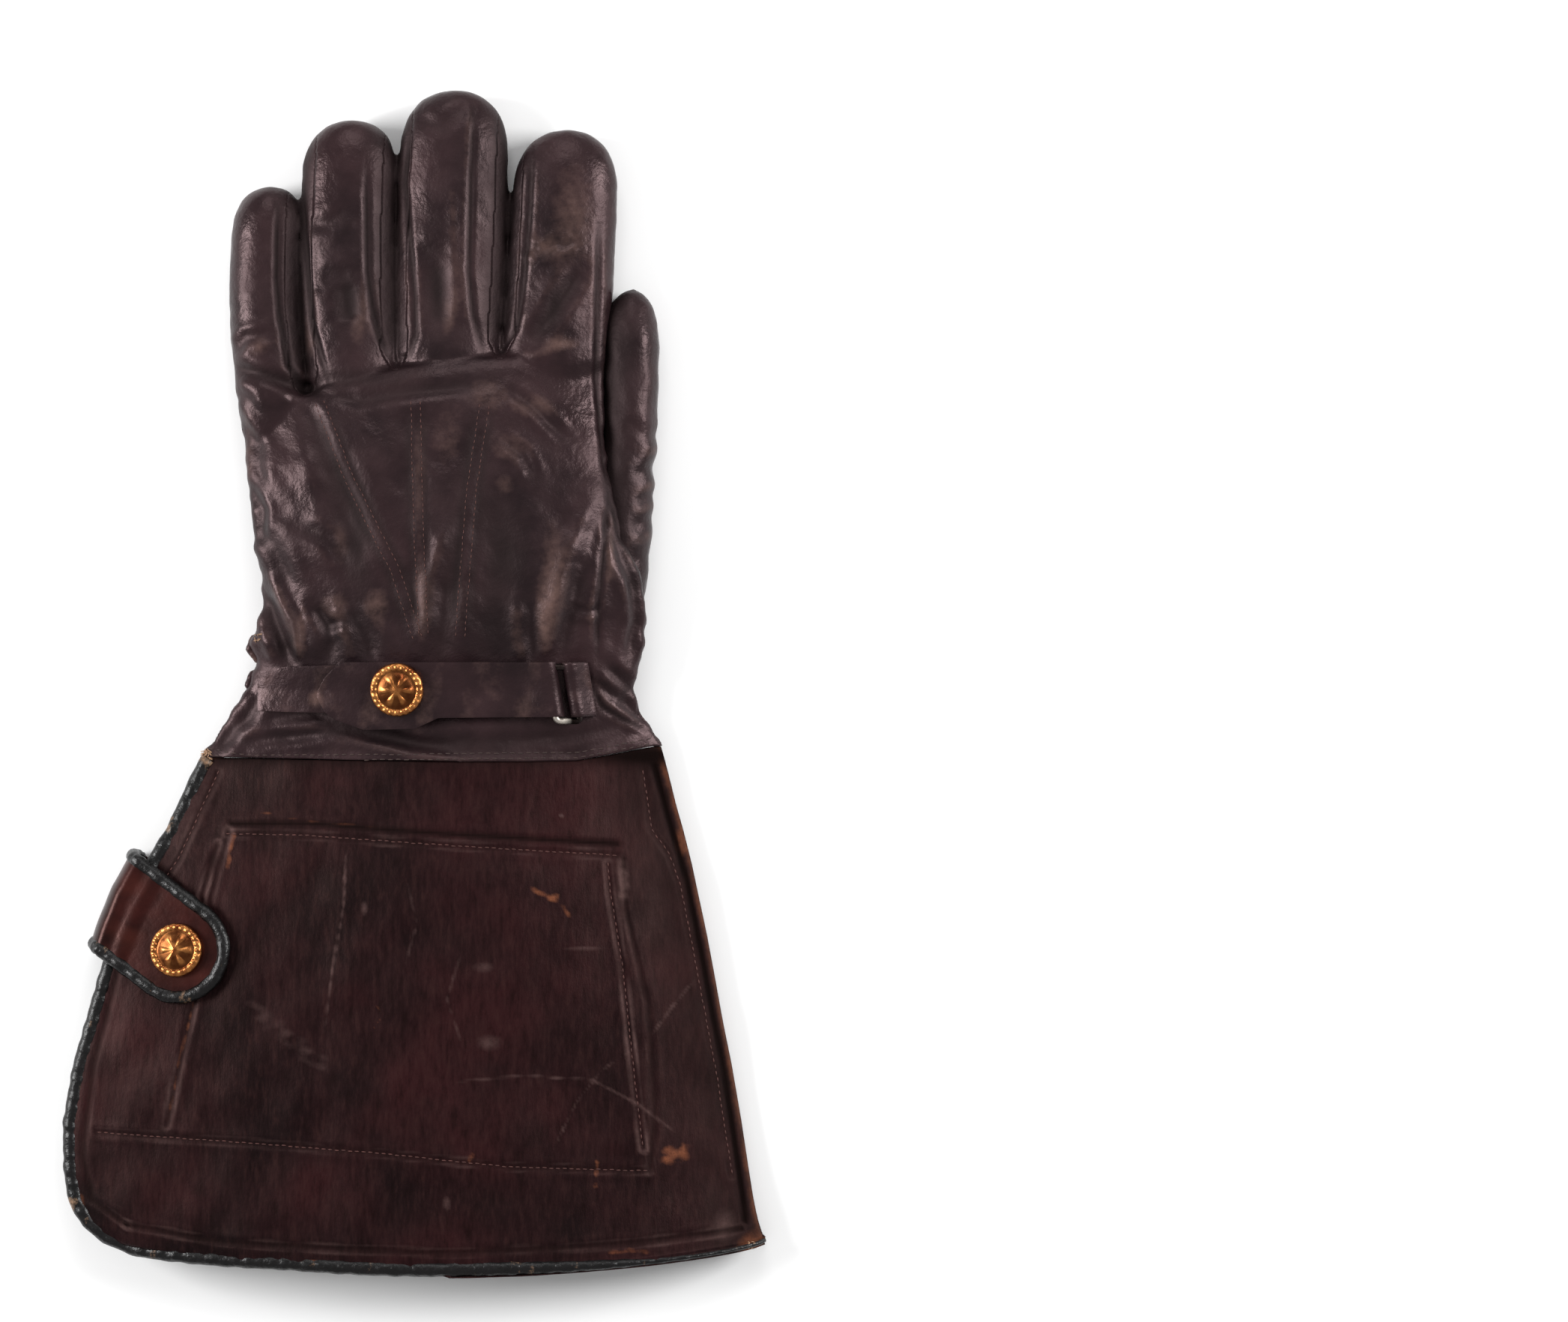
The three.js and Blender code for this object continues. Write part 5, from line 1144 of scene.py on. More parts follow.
def wearCuff(points):  # how far each point of the front panel moves, how rubbed it is, how much greyed wear and painted sheen it carries, and how much painted shade
    skin = cuffSkin
    moved = noiseArray(points, skin["broadSize"], 21) * skin["broad"]
    moved += noiseArray(points, skin["fineSize"], 22) * skin["fine"]
    rubbed, greyWearAndSheen, paintedShade = np.zeros(len(points)), np.zeros(len(points)), np.zeros(len(points))
    broken = skin["broken"] + skin["brokenSwing"] * noiseArray(points, skin["brokenSize"], 23)
    for row in cuffLines:
        away, _ = awayFromLine(points, photoLine(row))
        groove = bell(away, skin["lineWide"])
        moved += skin["lip"] * bell(away - skin["lipAway"], skin["lipWide"]) - row["pull"] * groove
        paintedShade += row["dark"] * groove
        greyWearAndSheen += row["light"] * broken * bell(away - skin["paleAway"], skin["paleWide"])
    ragged = skin["ragged"] + skin["raggedSwing"] * noiseArray(points, skin["raggedSize"], 24)
    for row in cuffScratches:
        away, along = awayFromLine(points, photoLine(row))
        mark = tapered(along, skin["markSteep"], skin["markLeast"]) * bell(away, row["wide"])
        mark *= row["share"] * ragged
        if row["kind"] == "rub":
            rubbed += mark
        else:
            greyWearAndSheen += mark
    rubbed += spotsAt(points, [row for row in cuffWear if row["kind"] == "rub"])
    greyWearAndSheen += spotsAt(points, [row for row in cuffWear if row["kind"] == "greyWearAndSheen"])
    inwards = np.array([cuffSection(alongAt(y))["right"] for y in points[:, 1]]) - points[:, 0]
    # the right edge is a lighter rim: a worn raw edge with a painted highlight
    edge = skin["edgeWearAndSheen"] + skin["edgeSwing"] * noiseArray(points, skin["edgeSize"], 26)
    rubbed += edge * bell(inwards, skin["edgeWide"])
    rubbed += skin["innerRub"] * bell(inwards - skin["innerAway"], skin["innerWide"])
    # painted shade towards the right edge and along the hem
    paintedShade += skin["sideShade"] * smoothArray(1 - (inwards - skin["sideFrom"]) / skin["sideOver"])
    paintedShade += skin["hemShade"] * bell(points[:, 1] - seamY, skin["hemWide"])
    return moved, rubbed, greyWearAndSheen, paintedShade


def makeCuffPanel(name, place, top):
    step = cuff["frontStep"] if top else cuff["rearStep"]
    piece = gridBody(name + "_panel", int(cuff["length"] / step), int(cuff["mouthWidth"] / step), place)
    points, normals = meshPoints(piece)
    if normals[:, 2].mean() < 0:
        piece.data.flip_normals()
    rubbed = cuffSkin["rub"] * (1 + noiseArray(points, cuffSkin["rubSize"], 20))
    greyWearAndSheen, paintedShade = np.zeros(len(points)), np.zeros(len(points))
    if top:
        moved, worn, greyWearAndSheen, paintedShade = wearCuff(points)
        rubbed += worn
        points[:, 2] += moved
        setPoints(piece, points)
    setShare(piece, "rub", rubbed)
    # greyed wear with painted sheen, and painted shade, for the material to read
    setShare(piece, "greyWearAndSheen", greyWearAndSheen)
    setShare(piece, "dark", paintedShade)
    withModifier(piece, "SOLIDIFY", thickness=cuff["wall"] * mm, offset=-1)
    finishPiece(piece, cuffLeather, "cuff_leather", name)
    return piece


# The rolled binding: its steps down the free side and along the mouth, and how thin it is by the thumb.
binding = dict(sideSteps=140, mouthSteps=160, crowd=0.85, thinFrom=0.55, thinOver=0.4, thinTo=0.35,
               start=0.8, endInset=0.6)
bindingWear = [dict(x=94, y=1602, wide=13, high=16, share=1.0),
               dict(x=274, y=1010, wide=10, high=12, share=0.7)]


def slim(share):
    return lerp(1.0, binding["thinTo"], smooth((share - binding["thinFrom"]) / binding["thinOver"]))


# How a rolled band swells and leans, in radians for each step of its path, and how its crest is rubbed.
roll = dict(swell=1.7, swellSlow=0.37, lean=1.1, leanSlow=0.23,
            crest=0.35, broad=0.3, broadSize=14, fine=0.25, fineSize=4)


# A rolled band along a path. It swells and leans a little by rumple; scales makes it thinner in places.
def bandAlong(name, path, wide, thick, sides=14, floor=None, outwards=None, seed=0, rumple=0.15, scales=None,
              wear=()):
    spots = [Vector(point) for point in path]
    count = len(spots)

    def place(u, v):
        i = min(int(round(v * (count - 1))), count - 1)
        along = (spots[min(i + 1, count - 1)] - spots[max(i - 1, 0)]).normalized()
        side = outwards[i] if outwards else along.cross(Vector((0, 0, 1)))
        side = (side - along * side.dot(along)).normalized()
        up = side.cross(along).normalized()
        angle = u * 2 * math.pi
        swell = math.sin(i * roll["swell"] + seed) * math.sin(i * roll["swellSlow"] + 2 * seed)
        swell = 1 + rumple * swell
        reach = math.sin(i * roll["lean"] + 3 * seed) * math.sin(i * roll["leanSlow"] + seed)
        reach = 1 + 0.5 * rumple * reach
        scale = scales[i] if scales else 1.0
        point = spots[i] + side * (wide / 2 * math.cos(angle) * reach * scale)
        point += up * (thick / 2 * math.sin(angle) * swell * lerp(0.5, 1, scale))
        if floor is not None:
            point.z = max(point.z, floor)
        return point

    piece = gridBody(name, sides, count - 1, place, fillEnds=True)
    points, _ = meshPoints(piece)
    crest = roll["crest"] + roll["broad"] * noiseArray(points, roll["broadSize"], seed + 30)
    crest += roll["fine"] * noiseArray(points, roll["fineSize"], seed + 31)
    setShare(piece, "rub", crest + spotsAt(points, wear))
    return piece


def freeEdge(height):
    inset = cuff["bindingWidth"] / 2
    path = []
    for i in range(binding["sideSteps"]):
        along = (i / (binding["sideSteps"] - 1)) ** binding["crowd"] * alongEnd
        section = cuffSection(along)
        y = seamY - along * cuff["length"] - (binding["start"] if i == 0 else 0)
        path.append((section["left"] + inset, y, along, section))
    mouth = cuffSection(alongEnd)
    for i in range(1, binding["mouthSteps"] + 1):
        share = i / binding["mouthSteps"]
        x = lerp(mouth["left"] + inset, mouth["right"] - binding["endInset"], share)
        y = cuffY(mouth, alongEnd, share) + inset * min(1, share * 4) * slim(share)
        path.append((x, y, alongEnd, mouth))
    return [(x, y, height(x, y, along, section)) for x, y, along, section in path]


def frontEdgeHeight(x, y, along, section):
    return frontHeight(section, along, shareAcross(section, x), x) - cuff["wall"] / 2


def rearEdgeHeight(x, y, along, section):
    return cuff["wall"] / 2 + footLift(x, y)


def makeBindings():
    thick = cuff["wall"] + 2 * cuff["bindingLip"]
    scales = [1.0] * binding["sideSteps"]
    scales += [slim(i / binding["mouthSteps"]) for i in range(1, binding["mouthSteps"] + 1)]
    front = bandAlong("front_roll", freeEdge(frontEdgeHeight), cuff["bindingWidth"], thick, seed=1,
                      scales=scales, wear=bindingWear)
    finishPiece(front, bindingLeather, "binding_leather", "front_binding")
    rear = bandAlong("rear_roll", freeEdge(rearEdgeHeight), cuff["bindingWidth"], thick, floor=0.0, seed=5,
                     scales=scales)
    finishPiece(rear, bindingLeather, "binding_leather", "rear_binding")


frontPanel = makeCuffPanel("cuff_front", frontPlace, True)
makeCuffPanel("cuff_rear", rearPlace, False)
makeBindings()
frontTree = surfaceOf(frontPanel)
print("cuff done")


# The gusset between the cuff's panels

gusset = dict(wall=1.2, depth=26, clear=0.7, start=0.03, end=0.82, inside=0.6, least=1.8, ripple=0.25,
              ripplesOut=40, ripplesDown=9)
gussetBends = [
    dict(at=0.00, out=0.00, high=0.0),
    dict(at=0.20, out=0.45, high=0.0),
    dict(at=0.38, out=0.85, high=0.06),
    dict(at=0.46, out=1.00, high=0.35),
    dict(at=0.54, out=1.00, high=0.65),
    dict(at=0.62, out=0.85, high=0.94),
    dict(at=0.80, out=0.45, high=1.0),
    dict(at=1.00, out=0.00, high=1.0),
]


def gussetPlace(u, v):
    along = lerp(gusset["start"], gusset["end"], u)
    section = cuffSection(along)
    bend = readTable(gussetBends, "at", v)
    x = section["left"] + cuff["bindingWidth"] + gusset["inside"] + bend["out"] * gusset["depth"]
    y = seamY - along * cuff["length"]
    low = cuff["wall"] + footLift(x, y) + gusset["clear"] + gusset["wall"] / 2
    high = frontTop(x, y) - cuff["wall"] - gusset["clear"] - gusset["wall"] / 2
    ripple = math.sin(u * gusset["ripplesOut"] + v * gusset["ripplesDown"])
    ripple *= gusset["ripple"] * math.sin(v * math.pi)
    return x, y, lerp(low, max(high, low + gusset["least"]), bend["high"]) + ripple


def makeGusset():
    piece = gridBody("side_gusset", 90, 40, gussetPlace)
    withModifier(piece, "SOLIDIFY", thickness=gusset["wall"] * mm, offset=0)
    mottle(piece, base=0.2, swing=0.2, size=12, seed=50)
    finishPiece(piece, gloveLeather, "glove_leather", "cuff_gusset")


makeGusset()


# The tab over the cuff's open side

def tabHeight(out, across):
    edge = reachAt(across)
    rim = smooth((out - (edge - cuff["bindingWidth"] - tab["rimOver"])) / tab["rimOver"])
    x, y = tabPlace(min(out, edge - tab["rimInside"]), across)
    return frontTop(x, y) + tab["over"] + rim * cuff["bindingLip"] + tab["lip"] + tab["wall"] / 2


def tabPoint(run, v):  # run from 0 at the round end, 1 at the cuff's edge, 2 below it, to 3 at the foot's end
    half = tab["width"] / 2 - tab["lip"]
    clear = cuff["bindingLip"] + cuff["gap"]
    across = (2 * v - 1) * half
    if run <= 1:
        out = lerp(-half, tabReach, run)
        free = math.sqrt(max(half * half - out * out, 0)) if out < 0 else half
        across = (2 * v - 1) * max(free, tab["tip"])
        out += (reachAt(across) - tabReach + clear) * run ** 3
        return (*tabPlace(out, across), tabHeight(out, across))
    turnAt = reachAt(across) + clear
    low = tab["wall"] / 2
    radius = (tabHeight(turnAt, across) - low) / 2
    if run <= 2:
        angle = math.pi / 2 - (run - 1) * math.pi
        x, y = tabPlace(turnAt + min(radius, tab["bulge"]) * math.cos(angle), across)
        return x, y, low + radius + radius * math.sin(angle)
    return (*tabPlace(turnAt - (run - 2) * tab["foot"], across), low)


def makeTab():
    piece = gridBody("side_tab", 84, 30, lambda u, v: tabPoint(3 * u, v))
    withModifier(piece, "SOLIDIFY", thickness=tab["wall"] * mm, offset=0)
    mottle(piece, base=0.28, swing=0.2, size=16, seed=60)
    finishPiece(piece, tabLeather, "cuff_leather", "cuff_tab")
    runs = [tab["openRun"] * (1 - i / tab["rimSteps"]) for i in range(tab["rimSteps"] + 1)]
    path = [Vector(tabPoint(run, 0)) for run in runs] + [Vector(tabPoint(run, 1)) for run in reversed(runs)]
    centres = [Vector(tabPoint(max(run, tab["centreRun"]), 0.5)) for run in runs + runs[::-1]]
    outwards = [point - centre for point, centre in zip(path, centres)]
    path = [point + out.normalized() * (tab["lip"] - tab["rim"] / 2) for point, out in zip(path, outwards)]
    thick = (tab["wall"] + 2 * tab["lip"]) * tab["curl"]
    rim = bandAlong("tab_roll", path, tab["rim"], thick, outwards=outwards, seed=9)
    finishPiece(rim, bindingLeather, "binding_leather", "tab_binding")


makeTab()
print("tab done")


# The wrist strap, its wire loop and the chape

strap = dict(width=16.3, wall=1.4, middle=-0.16, start=-0.44, reach=70, clear=0.6, loopX=45, loopWidth=7,
             wire=2.0, chape=5.0, gap=0.3, lean=0.16, leanFrom=22, cover=1.5, snapAt=0.655, settle=0.16,
             bevel=0.35, chapeBelow=0.3, chapeTurned=0.6, corner=0.6, cornerSteps=6, barSteps=10)
strapRows = [
    dict(at=0.00, low=-0.40, high=0.32),
    dict(at=0.10, low=-0.42, high=0.42),
    dict(at=0.55, low=-0.46, high=0.48),
    dict(at=1.00, low=-0.50, high=0.50),
]
strapEndRows = [
    dict(at=0.00, low=-0.14, high=-0.06),
    dict(at=0.03, low=-0.40, high=0.20),
    dict(at=0.07, low=-0.54, high=0.38),
    dict(at=0.12, low=-0.62, high=0.50),
    dict(at=0.20, low=-0.74, high=0.50),
    dict(at=0.42, low=-0.72, high=0.50),
    dict(at=0.52, low=-0.52, high=0.50),
    dict(at=1.00, low=-0.50, high=0.50),
]
strapMiddle = strap["middle"] * strap["width"]
leftBar = strap["loopX"] - strap["loopWidth"] / 2
rightBar = strap["loopX"] + strap["loopWidth"] / 2
lowerHeight = strap["clear"] + strap["wall"] / 2
upperHeight = lowerHeight + strap["wall"] + strap["gap"]
barHeight = strap["clear"] + strap["wall"] + strap["gap"] + strap["wire"] / 2
turnRadius = strap["wire"] / 2 + strap["gap"] + strap["wall"] / 2


def wristTop(x, y):
    section = readTable(handSections, "y", y)
    half = (section["right"] - section["left"]) / 2
    share = min(max((x - (section["left"] + section["right"]) / 2) / half, -1), 1)
    middle = lerp(section["midL"], section["midR"], (share + 1) / 2)
    return middle + (section["high"] - middle) * math.sqrt(1 - share * share) ** section["crown"]


def strapStation(run):  # run: to 1 the lower layer, to 2 round the wire, to 3 the upper layer's way back
    if run <= 1:
        row = readTable(strapRows, "at", run)
        x = lerp(strap["start"] * hand["palmWidth"], leftBar, run)
        return x, x, lowerHeight, row["low"], row["high"]
    if run < 2:
        angle = -math.pi / 2 + (run - 1) * math.pi
        x = leftBar + turnRadius * math.cos(angle)
        return x, leftBar, barHeight + turnRadius * math.sin(angle), -0.5, 0.5
    at = 3 - run
    row = readTable(strapEndRows, "at", at)
    x = leftBar - (1 - at) * strap["reach"]
    settle = smooth((leftBar - x) / (strap["reach"] * strap["settle"]))
    return x, x, lerp(barHeight + turnRadius, upperHeight, settle), row["low"], row["high"]


def leaning(x, y):  # the strap's right end leans, as the photograph shows it
    share = smooth((x - leftBar + strap["leanFrom"]) / strap["leanFrom"])
    return x - strap["lean"] * (y - strapMiddle) * share


def strapPlace(u, v):
    run = 3 * u
    x, over, h, low, high = strapStation(run)
    y = strapMiddle + lerp(low, high, v) * strap["width"]
    return leaning(x, y), y, wristTop(over, y) + h


def chapePlace(u, v):  # below the wire, round it and back on top
    over = rightBar
    below, turned = strap["chapeBelow"], strap["chapeTurned"]
    if u < below:
        x, h = rightBar + strap["chape"] * (1 - u / below), lowerHeight
        over = x
    elif u < turned:
        angle = -math.pi / 2 - (u - below) / (turned - below) * math.pi
        x, h = rightBar + turnRadius * math.cos(angle), barHeight + turnRadius * math.sin(angle)
    else:
        share = (u - turned) / (1 - turned)
        x, h = rightBar + strap["chape"] * share, lerp(barHeight + turnRadius, upperHeight, smooth(share))
        over = x
    y = strapMiddle + (v - 0.5) * strap["width"]
    return leaning(x, y), y, wristTop(over, y) + h


strapWear = [dict(x=424, y=932, wide=7.1, high=7.1, share=1.4)]


def makeStrap():
    piece = gridBody("wrist_belt", 180, 20, strapPlace)
    withModifier(piece, "SOLIDIFY", thickness=strap["wall"] * mm, offset=0)
    withModifier(piece, "BEVEL", width=strap["bevel"] * mm, segments=2, limit_method="ANGLE")
    mottle(piece, base=0.22, swing=0.2, size=12, seed=70, wear=strapWear)
    finishPiece(piece, gloveLeather, "glove_leather", "wrist_strap")
    chape = gridBody("loop_chape", 60, 20, chapePlace)
    withModifier(chape, "SOLIDIFY", thickness=strap["wall"] * mm, offset=0)
    mottle(chape, base=0.2, swing=0.15, size=9, seed=71)
    finishPiece(chape, gloveLeather, "glove_leather", "strap_chape")


# the wire is rubbed bright at its lower end, with a painted glint there
loopWearAndGlint = [dict(x=744, y=960, wide=8, high=9, share=1.68), dict(x=758, y=966, wide=7, high=7, share=1.12)]


def makeLoop():
    halfX = strap["loopWidth"] / 2
    halfY = strap["width"] / 2 + strap["gap"] + strap["wire"] / 2
    corner = strap["wire"] * strap["corner"]
    steps = strap["cornerSteps"]
    path = []
    for side in range(4):
        cornerX = (1 if side in (0, 3) else -1) * (halfX - corner)
        cornerY = (1 if side < 2 else -1) * (halfY - corner)
        for i in range(steps + 1):
            angle = (side + i / steps) * math.pi / 2
            x, y = cornerX + corner * math.cos(angle), cornerY + corner * math.sin(angle)
            path.append((strap["loopX"] + x, strapMiddle + y))
        if side % 2 == 1:
            bar = leftBar if side == 1 else rightBar
            shares = [i / strap["barSteps"] for i in range(1, strap["barSteps"])]
            path += [(bar, strapMiddle + lerp(cornerY, -cornerY, share)) for share in shares]
    path.append(path[0])
    covered = strapMiddle + strap["width"] / 2 - strap["cover"]
    path = [(leaning(x, min(y, covered)), min(y, covered), wristTop(x, y) + barHeight) for x, y in path]
    piece = bandAlong("wire_loop", path, strap["wire"], strap["wire"], sides=12, rumple=0.0)
    points, _ = meshPoints(piece)
    setShare(piece, "rub", spotsAt(points, loopWearAndGlint))
    finishPiece(piece, steel, "steel_wire", "strap_loop")


# The strap's fixed end is rucked up into two small curls at the little finger's side, each from high up.
curl = dict(wide=2.4, thick=2.6, rise=1.6, slimTo=0.6, steps=8)
curlRows = [
    dict(name="upper_curl", line=[(356, 884), (342, 880), (332, 866), (337, 851), (352, 847)], high=7.5),
    dict(name="lower_curl", line=[(354, 932), (340, 928), (330, 914), (335, 899), (350, 893)], high=6.5),
]


def makeCurls():
    for row in curlRows:
        spots = photoLine(row)
        shares = [i / curl["steps"] for i in range(curl["steps"])]
        path = []
        for a, b in zip(spots, spots[1:]):
            path += [(lerp(a[0], b[0], share), lerp(a[1], b[1], share)) for share in shares]
        arches = [math.sin(math.pi * i / (len(path) - 1)) for i in range(len(path))]
        path = [(x, y, row["high"] + curl["rise"] * arch) for (x, y), arch in zip(path, arches)]
        scales = [lerp(curl["slimTo"], 1, arch) for arch in arches]
        piece = bandAlong(row["name"], path, curl["wide"], curl["thick"], seed=3, scales=scales)
        finishPiece(piece, gloveLeather, "glove_leather")


makeStrap()
makeCurls()
makeLoop()
print("strap done")


# Snap caps

snap = dict(diameter=16, beads=24, petals=6, petalRise=0.3, petalAt=0.4, petalWide=0.18, centreWide=0.16,
            beadRise=0.16, beadsFrom=0.76, beadsTo=0.95, flowerTo=0.72, faceFrom=1.6, turns=72, seatAt=0.84,
            seatGap=0.15, rimShade=0.75, plainShade=0.42, flowerShade=0.3)
capProfile = [  # from the centre of the underside to the centre of the dome; out is a share of the radius
    dict(out=0, up=0), dict(out=0.84, up=0), dict(out=0.97, up=0.5), dict(out=1, up=1.1),
    dict(out=0.98, up=1.7), dict(out=0.92, up=2.15), dict(out=0.84, up=2.3), dict(out=0.78, up=2.2),
    dict(out=0.74, up=1.95), dict(out=0.68, up=2.0), dict(out=0.55, up=2.5), dict(out=0.4, up=2.85),
    dict(out=0.25, up=3.05), dict(out=0.1, up=3.15), dict(out=0, up=3.18),
]


def makeCap(name, node, seat, normal):
    radius = snap["diameter"] / 2
    bm = bmesh.new()
    verts = [bm.verts.new((row["out"] * radius * mm, 0, row["up"] * mm)) for row in capProfile]
    edges = [bm.edges.new(pair) for pair in zip(verts, verts[1:])]
    bmesh.ops.spin(bm, geom=verts + edges, axis=(0, 0, 1), cent=(0, 0, 0), steps=snap["turns"],
                   angle=2 * math.pi, use_merge=True)
    bmesh.ops.remove_doubles(bm, verts=bm.verts, dist=mergeWithin)
    bmesh.ops.recalc_face_normals(bm, faces=bm.faces)
    bmesh.ops.subdivide_edges(bm, edges=bm.edges, cuts=1, use_grid_fill=True, smooth=0.4)
    shade = bm.verts.layers.float.new("rub")
    for vert in bm.verts:
        out = vert.co.to_2d().length / mm / radius
        angle = math.atan2(vert.co.y, vert.co.x)
        face = vert.co.z / mm > snap["faceFrom"]
        vert[shade] = snap["rimShade"] if out > snap["beadsFrom"] else snap["plainShade"]
        if face and out < snap["flowerTo"]:
            petal = math.exp(-((out - snap["petalAt"]) / snap["petalWide"]) ** 2)
            petal *= max(0.0, math.cos(snap["petals"] * angle))
            rise = snap["petalRise"] * (petal + math.exp(-(out / snap["centreWide"]) ** 2))
            vert.co.z += rise * mm
            vert[shade] = snap["flowerShade"] + 2 * rise
        elif face and snap["beadsFrom"] < out < snap["beadsTo"]:
            vert.co.z += snap["beadRise"] * math.cos(snap["beads"] * angle) * mm
    turn = Vector((0, 0, 1)).rotation_difference(normal).to_matrix().to_4x4()
    bmesh.ops.transform(bm, matrix=Matrix.Translation(seat * mm) @ turn, verts=bm.verts)
    finishPiece(newObject(name, bm), brass, "snap_brass", node)


def seatOf(height, x, y):  # where a cap rests on a curved surface, and how it leans there
    reach = snap["diameter"] / 2
    slopeX = (height(x + reach, y) - height(x - reach, y)) / (2 * reach)
    slopeY = (height(x, y + reach) - height(x, y - reach)) / (2 * reach)
    normal = Vector((-slopeX, -slopeY, 1)).normalized()
    rim = reach * snap["seatAt"]
    ring = [(rim * math.cos(i / 2), rim * math.sin(i / 2)) for i in range(13)]
    rise = max(height(x + dx, y + dy) - height(x, y) - slopeX * dx - slopeY * dy for dx, dy in ring)
    return Vector((x, y, height(x, y) + max(rise, 0))) + normal * snap["seatGap"], normal


def overStrap(x, y):
    return wristTop(x, y) + upperHeight + strap["wall"] / 2


def overTab(x, y):
    return frontTop(x, y) + tab["over"] + tab["lip"] + tab["wall"]


snapX = leftBar - strap["reach"] * strap["snapAt"]
makeCap("wrist_cap", "wrist_snap_cap", *seatOf(overStrap, snapX, strapMiddle))
makeCap("cuff_cap", "cuff_snap_cap", *seatOf(overTab, tab["x"], tab["y"]))
print("caps done")


# Stitches

# A stitch fills a share of its pitch and is sunk a little; none is sewn where the leather is too steep.
stitch = dict(share=2.3 / 3, high=0.25, sink=0.05, jitter=0.12, steepest=0.2)


def sewLines(name, lines, tree, material, slotName, pitch, thick, offsets=(0.0,)):
    bm = bmesh.new()
    scale = Matrix.Diagonal((stitch["share"] * pitch / 2, thick / 2, thick / 2, 1))
    for line in lines:
        for offset in offsets:
            at = 0.0
            for a, b in zip(line, line[1:]):
                run = Vector((b[0] - a[0], b[1] - a[1]))
                aside = Vector((-run.y, run.x)).normalized() * offset
                while at < run.length:
                    jitter = rng.uniform(-stitch["jitter"], stitch["jitter"])
                    x, y = a[0] + run.x * at / run.length + aside.x, a[1] + run.y * at / run.length + aside.y
                    z, normal = topAt(tree, x, y, fallback=-1)
                    if z > 0 and normal.z > stitch["steepest"]:
                        along = Vector((run.x, run.y, 0)).normalized()
                        along = (along - normal * along.dot(normal)).normalized()
                        across = normal.cross(along)
                        turn = Matrix((along, across, normal)).transposed().to_4x4()
                        place = Vector((x, y, z)) + across * jitter
                        place += normal * (thick * stitch["high"] - stitch["sink"])
                        matrix = Matrix.Translation(place * mm) @ turn @ Matrix.Scale(mm, 4) @ scale
                        bmesh.ops.create_icosphere(bm, subdivisions=1, radius=1, matrix=matrix)
                    at += pitch
                at -= run.length
    finishPiece(newObject(name, bm), material, slotName)


cuffSeams = [photoLine(row) for row in cuffLines if row["sewn"]]
tuckSeams = [photoLine(row) for row in tucks]
hemLines = [
    dict(line=[(270, 998), (330, 1008), (640, 1005), (773, 1004), (868, 986)]),
    dict(line=[(268, 1006), (330, 1015), (640, 1012), (773, 1011), (870, 992)]),
]
hemSeams = [photoLine(row) for row in hemLines]
sewLines("cuff_stitches", cuffSeams, frontTree, redThread, "cuff_leather", 2.0, 0.4)
sewLines("tuck_stitches", tuckSeams, handTree, redThread, "glove_leather", 1.8, 0.3, offsets=(-1.4, 1.4))
sewLines("hem_stitches", hemSeams, handTree, darkThread, "glove_leather", 2.4, 0.45)

frayRows = [
    dict(x=274, y=1008, count=26, reach=2.6), dict(x=92, y=1600, count=18, reach=1.6),
    dict(x=106, y=1612, count=14, reach=1.4), dict(x=1005, y=1664, count=16, reach=1.2),
    dict(x=344, y=852, count=8, reach=1.6),
]
fray = dict(spread=1.4, thick=0.16, lift=0.2, dip=-0.5, rise=0.3, shortest=0.3, longest=0.7)


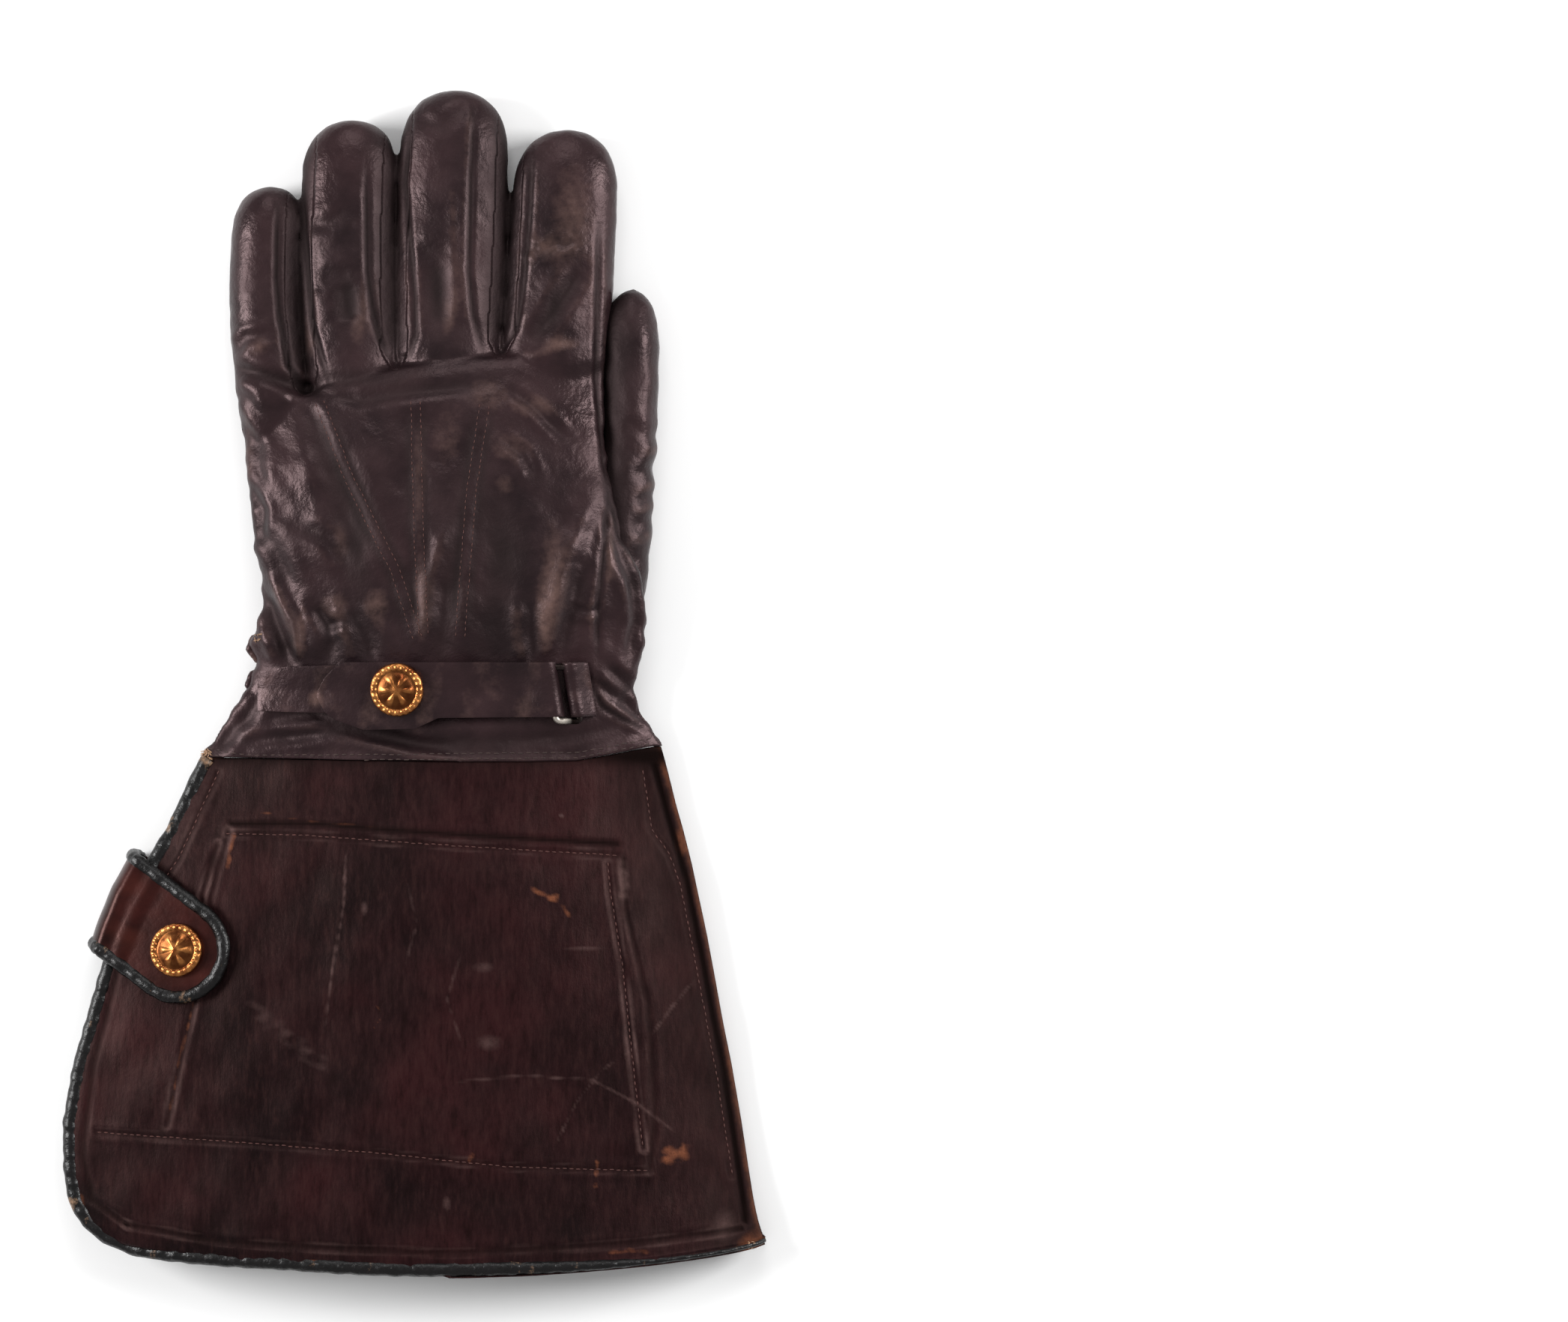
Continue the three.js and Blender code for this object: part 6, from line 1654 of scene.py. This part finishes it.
def makeFrays():  # loose ends of linen thread where the edges are worn through
    bm = bmesh.new()
    spread = fray["spread"]
    for row in frayRows:
        x, y = spot(row["x"], row["y"])
        for _ in range(row["count"]):
            px, py = x + rng.uniform(-spread, spread), y + rng.uniform(-spread, spread)
            z = max(topAt(tree, px, py)[0] for tree in (handTree, frontTree)) + fray["lift"]
            turn = Matrix.Rotation(rng.uniform(0, 2 * math.pi), 4, "Z")
            turn = turn @ Matrix.Rotation(rng.uniform(fray["dip"], fray["rise"]), 4, "Y")
            length = row["reach"] * rng.uniform(fray["shortest"], fray["longest"])
            scale = Matrix.Diagonal((length, fray["thick"], fray["thick"], 1))
            matrix = Matrix.Translation(Vector((px, py, z)) * mm) @ turn @ Matrix.Scale(mm, 4) @ scale
            bmesh.ops.create_icosphere(bm, subdivisions=1, radius=1, matrix=matrix)
    finishPiece(newObject("frayed_ends", bm), paleThread, "glove_leather")


makeFrays()
print("stitches done")


# Stage, camera and light

view = dict(distance=1.62, focusHigh=0.012, sensor=36, floorDrop=0.0003, floorHalf=4, sky=0.4)
lights = [
    dict(name="topSide", at=(0.0, 1.1, 0.9), size=0.6, power=4.0),
    dict(name="leftSide", at=(-0.85, 0.1, 0.52), size=0.42, power=10.5),
    dict(name="rightSide", at=(0.9, 0.25, 0.58), size=0.42, power=10.0),
]


def makeFloor():
    bm = bmesh.new()
    bmesh.ops.create_grid(bm, x_segments=1, y_segments=1, size=view["floorHalf"])
    bmesh.ops.translate(bm, verts=bm.verts, vec=(0, 0, -view["floorDrop"]))
    floor = newObject("floor", bm)
    material, _, _, _ = startMaterial("whitePaper", Base_Color=linear("#ffffff"), Roughness=0.9)
    floor.data.materials.append(material)


def makeCamera():  # straight above the middle of the photograph, as wide as the photograph
    camera = bpy.data.cameras.new("camera")
    camera.sensor_width = view["sensor"]
    camera.lens = view["sensor"] * view["distance"] / (photo["width"] * photo["mmPerPixel"] * mm)
    camera.clip_end = 20
    holder = bpy.data.objects.new("camera", camera)
    centreX, centreY = spot(photo["viewX"], photo["viewY"])
    holder.location = (centreX * mm, centreY * mm, view["distance"] + view["focusHigh"])
    bpy.context.scene.collection.objects.link(holder)
    bpy.context.scene.camera = holder


def makeLights():
    for row in lights:
        light = bpy.data.lights.new(row["name"], "AREA")
        light.size = row["size"]
        light.energy = row["power"]
        lamp = bpy.data.objects.new(row["name"], light)
        lamp.location = row["at"]
        lamp.rotation_euler = (-Vector(row["at"])).to_track_quat("-Z", "Y").to_euler()
        bpy.context.scene.collection.objects.link(lamp)
    world = bpy.data.worlds.new("studio")
    world.use_nodes = True
    sky = world.node_tree.nodes["Background"]
    sky.inputs["Color"].default_value = (1.0, 1.0, 1.0, 1.0)
    sky.inputs["Strength"].default_value = view["sky"]
    bpy.context.scene.world = world
    bpy.context.scene.view_settings.view_transform = "Standard"


makeFloor()
makeCamera()
makeLights()
print("stage done")
